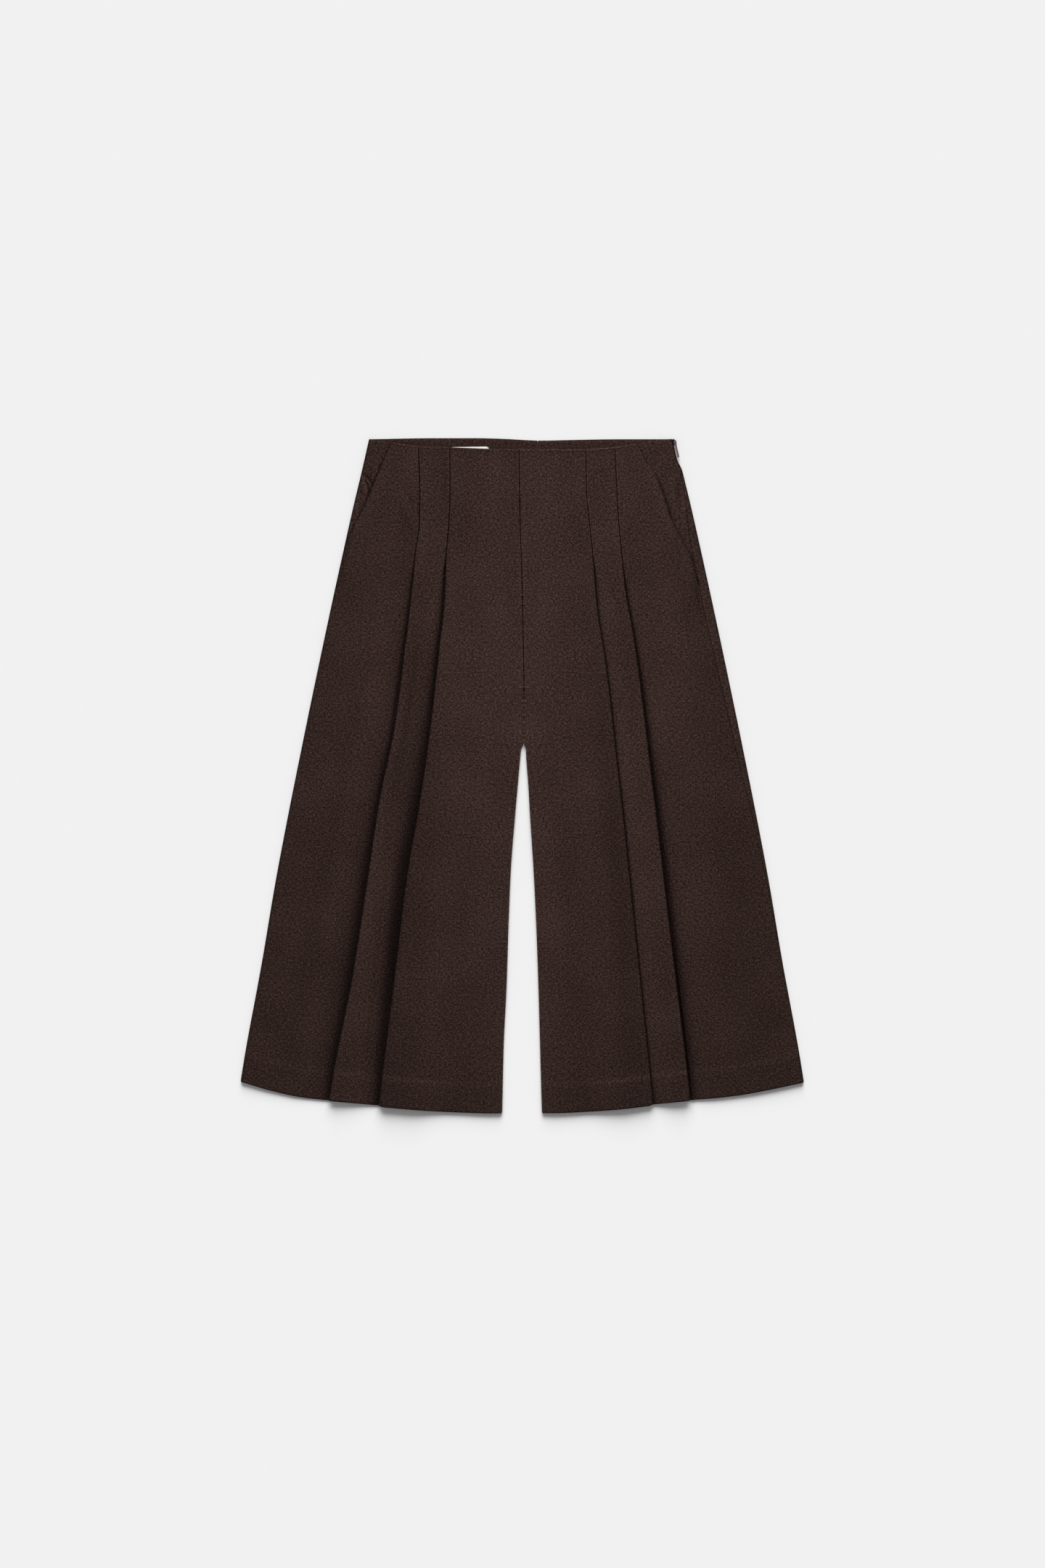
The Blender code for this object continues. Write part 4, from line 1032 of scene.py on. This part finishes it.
def wool(name, groups, colours):
    """Fulled wool cloth: melange colour, woven relief, sewing ripples, and a soft nap that catches the light."""
    nap = {"Sheen_Weight": 0.05, "Sheen_Roughness": 0.45, "Sheen_Tint": (0.75, 0.58, 0.50, 1.0)}
    made, tree, shader = principled(name, 0.6, Specular_IOR_Level=0.09, **nap)
    uv = node(tree, "ShaderNodeUVMap", uv_map="cloth").outputs[0]
    mark = node(tree, "ShaderNodeAttribute", attribute_name="pucker").outputs["Fac"]
    cloth = node(tree, "ShaderNodeGroup", node_tree=groups["melange"])
    tree.links.new(uv, cloth.inputs["Vector"])
    for label, colour in colours.items():
        cloth.inputs[label].default_value = (*colour, 1)
    ripple = node(tree, "ShaderNodeGroup", node_tree=groups["puckers"])
    tree.links.new(uv, ripple.inputs["Vector"])
    tree.links.new(mark, ripple.inputs["Mark"])
    weave = node(tree, "ShaderNodeBump", {"Strength": 0.55, "Distance": 0.00022, "Height": cloth.outputs["Height"]})
    sewn = node(tree, "ShaderNodeBump", {"Strength": 0.8, "Distance": 0.0006, "Height": ripple.outputs["Height"]})
    tree.links.new(weave.outputs[0], sewn.inputs["Normal"])
    tree.links.new(sewn.outputs[0], shader.inputs["Normal"])
    tree.links.new(cloth.outputs["Color"], shader.inputs["Base Color"])
    return made


def grained(name, colour, roughness, scale, amount, **settings):
    """A plain finish with a little unevenness in its colour, gloss and surface."""
    made, tree, shader = principled(name, roughness, **settings)
    place = node(tree, "ShaderNodeTexCoord").outputs["Object"]
    grain = noise(tree, place, scale, 3.0)
    share = between(tree, grain, 1.0 - amount, 1.0 + amount)
    tint = node(tree, "ShaderNodeVectorMath", {0: colour, "Scale": share}, operation="SCALE")
    tree.links.new(tint.outputs[0], shader.inputs["Base Color"])
    gloss = between(tree, grain, roughness * 0.85, min(1.0, roughness * 1.15))
    tree.links.new(gloss, shader.inputs["Roughness"])
    bump = node(tree, "ShaderNodeBump", {"Strength": 0.3, "Distance": 0.0001, "Height": grain})
    tree.links.new(bump.outputs[0], shader.inputs["Normal"])
    return made


def make_materials():
    groups = {"melange": melange_group(), "puckers": pucker_group()}
    return {
        "wool": wool("brown_wool", groups, WOOL),
        "facing": wool("waist_facing_cloth", groups, FACING),
        "thread": grained("brown_thread", THREAD_BROWN, 0.5, 2500.0, 0.25),
        "tack": grained("brown_tack_thread", TACK_BROWN, 0.6, 2500.0, 0.25),
        "label": grained("white_satin", LABEL_WHITE, 0.4, 1800.0, 0.05),
        "enamel": grained("dark_enamel", ENAMEL, 0.3, 700.0, 0.2, Metallic=0.3),
        # the pull's grey colour is a painted highlight
        "pull": grained("grey_pull_painted_highlight", PULL_GREY_PAINTED_HIGHLIGHT, 0.36, 900.0, 0.12, Metallic=0.1),
        "tape": grained("zip_tape_cloth", TAPE_BROWN, 0.75, 1500.0, 0.3),
        "coil": grained("brown_nylon_coil", COIL_BROWN, 0.42, 1200.0, 0.15),
    }


# ---- pieces -----------------------------------------------------------------------------------------------
def finish(obj, material, slot, *nodes):
    obj.data.materials.clear()
    obj.data.materials.append(material)
    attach(obj, "garment")
    if nodes:
        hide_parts(*nodes)


def add_sheet(name, node_name, side, rows, path_of, below_of, creases, under, materials, **settings):
    """One cloth piece in place of its solid, lying on what is under it."""
    finish_name, slot = ("facing", "facing_cloth") if path_of is waist_facing_path else ("wool", "wool_cloth")
    piece, (flat, area) = cloth_shell(name, side, rows, path_of, below_of, creases, **settings)
    finish(piece, materials[finish_name], slot, node_name)


def add_cloth(materials):
    whole = side_rows(0.0, 1.0)
    for side in ("right", "left"):
        back, front, pocket = "cloth_back_" + side, "cloth_front_" + side, "cloth_pocket_" + side
        creases = CREASES[side]
        add_sheet(back, "back_" + side, side, whole, back_path, back_below, creases, "studio_surface", materials,
                  hemmed=True)
        add_sheet(front, "front_" + side, side, whole, front_path, front_below, creases, back, materials,
                  extra=hang, hemmed=True)
        rows = side_rows(0.0, MOUTH_END[side] + MOUTH_TUCK, POCKET_ROW_STEP)
        add_sheet(pocket, "pocket_facing_" + side, side, rows, pocket_facing_path, front_below,
                  creases + POCKET_CREASES[side], back, materials)


def add_waist_facing(materials):
    rows = side_rows(0.0, WAIST_FACING_ROW, FACING_ROW_STEP)
    for side in ("right", "left"):
        name, back = "waist_facing_" + side, "cloth_back_" + side
        add_sheet("cloth_" + name, name, side, rows, waist_facing_path, facing_below, (), back, materials)


def add_label(materials):
    """Blank satin label, thin, with soft corners and a slight wave across it."""
    bpy.ops.object.select_all(action="DESELECT")
    bpy.ops.mesh.primitive_grid_add(x_subdivisions=LABEL_GRID[0], y_subdivisions=LABEL_GRID[1], size=1.0)
    label = bpy.context.active_object
    label.name = "satin_label"
    beside, above, soft = LABEL_CORNER
    for point in label.data.vertices:
        x, y = point.co.x, point.co.y
        corner = max(0.0, abs(x) - beside) * max(0.0, abs(y) - above) * soft
        point.co.x = x * LABEL["width"] * MM * (1.0 - corner)
        point.co.y = y * LABEL["height"] * MM * (1.0 - corner)
        height = 2 * (CLOTH + LAYER_GAP) + LABEL["thick"] / 2
        for wave in LABEL_WAVES:
            height += wave.height * math.sin(wave.across * x + wave.down * y + wave.start)
        point.co.z = height * MM
    wall = label.modifiers.new("wall", "SOLIDIFY")
    wall.thickness = LABEL["wall"] * MM
    wall.offset = 0.0
    bpy.ops.object.modifier_apply(modifier="wall")
    middle = Matrix.Translation((LABEL["across"] * MM, (LENGTH / 2 - LABEL["below"]) * MM, 0.0))
    label.data.transform(middle @ Matrix.Rotation(math.radians(LABEL["turn"]), 4, "Z"))
    turn_outwards(label)
    label.data.shade_smooth()
    label.data.set_sharp_from_angle(angle=math.radians(SHARP["label"]))
    finish(label, materials["label"], "label_satin", "blank_label")


# ---- sewing -----------------------------------------------------------------------------------------------
def top_of(*names):
    """The cloth's upper side, to be looked up from above."""
    points, faces = [], []
    for name in names:
        mesh = bpy.data.objects[name].data
        first = len(points)
        points += [point.co.copy() for point in mesh.vertices]
        faces += [[first + i for i in face.vertices] for face in mesh.polygons]
    return BVHTree.FromPolygons(points, faces)


def on_cloth(surface, x, below):
    """The place straight under a point over the cloth, and which way the cloth faces there."""
    start = Vector((x * MM, (LENGTH / 2 - below) * MM, 0.1))
    place, normal, _, _ = surface.ray_cast(start, Vector((0.0, 0.0, -1.0)))
    if place is None:
        return None
    return place, normal if normal.z > 0 else -normal


def along_line(points, pitch):
    """Places a pitch apart along a bent line of (x, below)."""
    places, left = [], 0.0
    for (x_1, y_1), (x_2, y_2) in zip(points, points[1:]):
        length = math.hypot(x_2 - x_1, y_2 - y_1)
        if length == 0.0:
            continue
        at = left
        while at < length:
            share = at / length
            way = ((x_2 - x_1) / length, (y_2 - y_1) / length)
            places.append((x_1 + (x_2 - x_1) * share, y_1 + (y_2 - y_1) * share, *way))
            at += pitch
        left = at - length
    return places


def stitch_places(surface, line, pitch, length, turned=0.0):
    """Start and end of each stitch of a row of sewing, on the cloth."""
    stitches = []
    for x, below, way_x, way_y in along_line(line, pitch):
        cos, sin = math.cos(turned), math.sin(turned)
        way = (way_x * cos - way_y * sin, way_x * sin + way_y * cos)
        ends = [on_cloth(surface, x + way[0] * length * s, below + way[1] * length * s) for s in (-0.5, 0.5)]
        if None in ends or abs(ends[0][0].z - ends[1][0].z) > STITCH_STEP * MM:
            continue
        stitches.append((ends[0][0], ends[1][0], (ends[0][1] + ends[1][1]).normalized()))
    return stitches


def threads(name, stitches, thick, material):
    """Rows of stitches as one mesh: each a short thread that dips into the cloth at both ends."""
    points, faces = [], []
    for start, end, normal in stitches:
        side = normal.cross((end - start).normalized())
        rings = []
        for share, size, up in STITCH_FORM:
            middle = start.lerp(end, share) + normal * (up * thick * MM)
            reach = size * thick / 2 * MM
            rings.append([middle + (side * cos + normal * sin) * reach for cos, sin in ROUND])
        bar(points, faces, rings)
    made = new_piece(name, points, faces)
    made.data.shade_smooth()
    finish(made, material, "wool_cloth")


def line_of(side, first, last, out_at):
    """A line between two depths, at the distance out that out_at gives for each depth."""
    belows = [first + (last - first) * k / LINE_STEPS for k in range(LINE_STEPS + 1)]
    return [(out_of(side, out_at(below)), below) for below in belows]


def fold_line(side, name, first, last):
    """The sewing beside a fold, towards the middle."""
    return line_of(side, first, last, lambda below: curve(PLEATS[side], "below", name, below) - STITCH_INSET)


def mouth_stitch_line(side):
    """The sewing beside a pocket mouth."""

    def out_at(below):
        row = clamp((below - MOUTH_TOP) / (LENGTH - MOUTH_TOP))
        return half_width(side, row) - curve(MOUTH[side], "below", "inset", below) - MOUTH_STITCH_INSET

    first, last = MOUTH[side][0].below, MOUTH[side][-1].below
    return line_of(side, first + MOUTH_STITCH_END, last - MOUTH_STITCH_END, out_at)


def bar_tack(surface, x, below, wide, turned=0.0):
    """Close stitches side by side across the end of a seam."""
    cos, sin = math.cos(turned), math.sin(turned)
    half = wide / 2
    line = [(x - half * cos, below - half * sin), (x + half * cos, below + half * sin)]
    return stitch_places(surface, line, TACK_PITCH, TACK_LONG, math.pi / 2)


def add_sewing(materials):
    pieces = ("front_right", "front_left", "back_left", "pocket_right", "pocket_left")
    surface = top_of(*("cloth_" + piece for piece in pieces))
    rows, tacks, blind = {"right": [], "left": []}, [], []
    for side in ("right", "left"):
        first = front_below(side, PLEATS[side][0].inner, 0.0) + FIRST_STITCH
        for name in ("inner", "outer"):
            last = STITCHED_TO[name]
            end = curve(PLEATS[side], "below", name, last)
            turned_in = [(out_of(side, end - inset), last + 1.0) for inset in (END_LINE[name], 0.8)]
            for line in (fold_line(side, name, first, last), turned_in):
                rows[side] += stitch_places(surface, line, *STITCH[side])
            tacks += bar_tack(surface, out_of(side, end - TACK_FROM_FOLD), last + 0.6, TACK_WIDE["pleat"])
        mouth = mouth_stitch_line(side)
        rows[side] += stitch_places(surface, mouth, *STITCH[side])
        for (x, below), down in ((mouth[0], 1.0), (mouth[-1], 0.0)):
            tacks += bar_tack(surface, x, below + down, TACK_WIDE["mouth"], out_of(side, TACK_TURN))
        wide = half_width(side, HEM_LINE) - BLIND_SPAN[1]
        for k in range(BLIND_COUNT):
            out = BLIND_SPAN[0] + wide * (k + BLIND_UNEVEN * (k % 2)) / BLIND_COUNT
            x, below = out_of(side, out), front_below(side, out, HEM_LINE)
            blind += stitch_places(surface, [(x, below), (x + 0.6, below + 0.02)], 1.0, BLIND_LONG)
    for side in ("right", "left"):
        threads("pleat_and_pocket_stitches_" + side, rows[side], THREAD[side], materials["thread"])
    threads("bar_tacks", tacks, THREAD["tacks"], materials["tack"])
    threads("blind_hem_pricks", blind, THREAD["blind"], materials["tack"])


# ---- zip --------------------------------------------------------------------------------------------------
def zip_line():
    """Middle of the closed coil down the left side: (x, below, lowest height)."""
    points = []
    for k in range(ZIP_STEPS + 1):
        share = ZIP_ROWS[0] + (ZIP_ROWS[1] - ZIP_ROWS[0]) * k / ZIP_STEPS
        row = Row("left", share)
        nose = row.half_width - row.cloth / 2 - row.radius
        out = min(nose - ZIP_BACK, row.round_side(max(row.seam, row.quarter))[0])
        points.append((out, front_below("left", out, share), row.cloth + (SIDE_HOLLOW - ZIP_THICK) / 2))
    return points


def add_zip(materials):
    """Woven tape edge under a closed coil: each turn of the coil is a rounded bar across it."""
    line = zip_line()
    wide, thick = TAPE
    corners = ((-wide / 2, 0.0), (wide / 2, 0.0), (wide / 2, thick), (-wide / 2, thick))
    points, faces = [], []
    bar(points, faces, [[((x + a) * MM, (LENGTH / 2 - below) * MM, (low + b) * MM) for a, b in corners]
                        for x, below, low in line])
    finish(new_piece("zip_tape_edge", points, faces), materials["tape"], "zip_tape", "zip_chain")
    points, faces = [], []
    for x, below, way_x, way_y in along_line([(x, below) for x, below, _ in line], COIL_PITCH):
        share = clamp((below - line[0][1]) / (line[-1][1] - line[0][1]))
        low = line[min(len(line) - 1, round(share * (len(line) - 1)))][2]
        rings = []
        for reach, size in COIL_TURN:
            ring = []
            for cos, sin in ROUND:
                along = COIL_BAR * size * cos + COIL_LEAN * reach
                high = low + COIL_HIGH + COIL_BAR * size * sin
                ring.append(((x + reach + way_x * along) * MM, (LENGTH / 2 - below - way_y * along) * MM, high * MM))
            rings.append(ring)
        bar(points, faces, rings)
    coil = new_piece("zip_coil", points, faces)
    coil.data.shade_smooth()
    finish(coil, materials["coil"], "zip_tape", "zip_chain")


# ---- surface, camera and light ----------------------------------------------------------------------------
PIXEL = 0.83  # millimetres to one pixel of the 1440 x 2160 photograph
PHOTO_TALL = 2160
PHOTO_MIDDLE = (0.4, -9.5)  # what is at the middle of the photograph, from the middle of the shorts
CAMERA_HIGH = 4.0
SENSOR = 36.0
FLOOR_SIZE = 90.0  # metres: so wide that it fills the picture from low down too
PAPER = (0.795, 0.805)  # how pale it is
AIR = 0.32
Softbox = namedtuple("Softbox", "power size away tilt turned")
SOFTBOXES = {"right": Softbox(224.0, 1.76, 3.2, 67.0, 40.0), "left": Softbox(235.0, 1.6, 3.2, 67.0, -32.0)}
SUN = {"strength": 4.9, "angle": 44.0, "tilt": 60.0}


def add_floor():
    bpy.ops.object.select_all(action="DESELECT")
    bpy.ops.mesh.primitive_plane_add(size=FLOOR_SIZE, location=(0.0, 0.0, 0.0))
    floor = bpy.context.active_object
    floor.name = "studio_surface"
    made, tree, shader = principled("studio_paper", 0.9, Specular_IOR_Level=0.1)
    place = node(tree, "ShaderNodeTexCoord").outputs["Object"]
    paper = between(tree, noise(tree, place, 60.0, 2.0), *PAPER)
    tree.links.new(paper, shader.inputs["Base Color"])
    floor.data.materials.append(made)
    floor.visible_diffuse = False


def add_camera():
    data = bpy.data.cameras.new("overhead_camera")
    data.sensor_fit = "VERTICAL"
    data.sensor_height = SENSOR
    data.lens = SENSOR * CAMERA_HIGH / (PHOTO_TALL * PIXEL * MM)
    camera = bpy.data.objects.new("overhead_camera", data)
    camera.location = (PHOTO_MIDDLE[0] * MM, PHOTO_MIDDLE[1] * MM, CAMERA_HIGH)
    bpy.context.scene.collection.objects.link(camera)
    bpy.context.scene.camera = camera


def add_lamp(name, kind, power, tilt, turned, lit):
    """A light on some pieces only. tilt is from overhead towards the waist side, turned clockwise from there."""
    data = bpy.data.lights.new(name, kind)
    data.energy = power
    light = bpy.data.objects.new(name, data)
    swing = Matrix.Rotation(math.radians(-turned), 3, "Z") @ Matrix.Rotation(math.radians(-tilt), 3, "X")
    light.rotation_euler = swing.to_euler()
    bpy.context.scene.collection.objects.link(light)
    light.light_linking.receiver_collection = lit
    return light, swing


def add_softbox(name, softbox, lit):
    """A square softbox at a distance from the middle of the shorts.

    It makes no highlight, so that from low down neither half of the cloth shines where the other doesn't.
    """
    light, swing = add_lamp(name, "AREA", softbox.power, softbox.tilt, softbox.turned, lit)
    light.data.size = softbox.size
    light.location = swing @ Vector((0.0, 0.0, softbox.away))
    light.visible_glossy = False
    light.visible_camera = False


def add_light(cloth, floor):
    world = bpy.data.worlds.new("studio_air")
    bpy.context.scene.world = world
    world.use_nodes = True
    air = world.node_tree.nodes["Background"]
    air.inputs["Color"].default_value = (1.0, 1.0, 1.0, 1.0)
    air.inputs["Strength"].default_value = AIR
    sun, _ = add_lamp("surface_softbox", "SUN", SUN["strength"], SUN["tilt"], 0.0, floor)
    sun.data.angle = math.radians(SUN["angle"])
    for side in ("right", "left"):
        add_softbox(side + "_softbox", SOFTBOXES[side], cloth[side])
    bpy.context.scene.view_settings.view_transform = "Standard"


def main():
    for obj in bpy.context.selected_objects:
        obj.select_set(False)
    add_camera()
    add_floor()
    materials = make_materials()
    add_cloth(materials)
    add_waist_facing(materials)
    add_label(materials)
    add_zip(materials)
    add_sewing(materials)
    cloth = {side: bpy.data.collections.new(side + "_half") for side in ("right", "left")}
    floor = bpy.data.collections.new("surface")
    for obj in bpy.data.objects:
        if obj.type == "MESH":
            half = cloth["right" if "right" in obj.name or "label" in obj.name else "left"]
            (floor if obj.name == "studio_surface" else half).objects.link(obj)
    add_light(cloth, floor)
    for name, finish_name in (("zip_slider", "enamel"), ("zip_pull", "pull")):
        solid = frame["nodes"][name]
        solid.data.materials.clear()
        solid.data.materials.append(materials[finish_name])
    bpy.context.view_layer.update()


main()
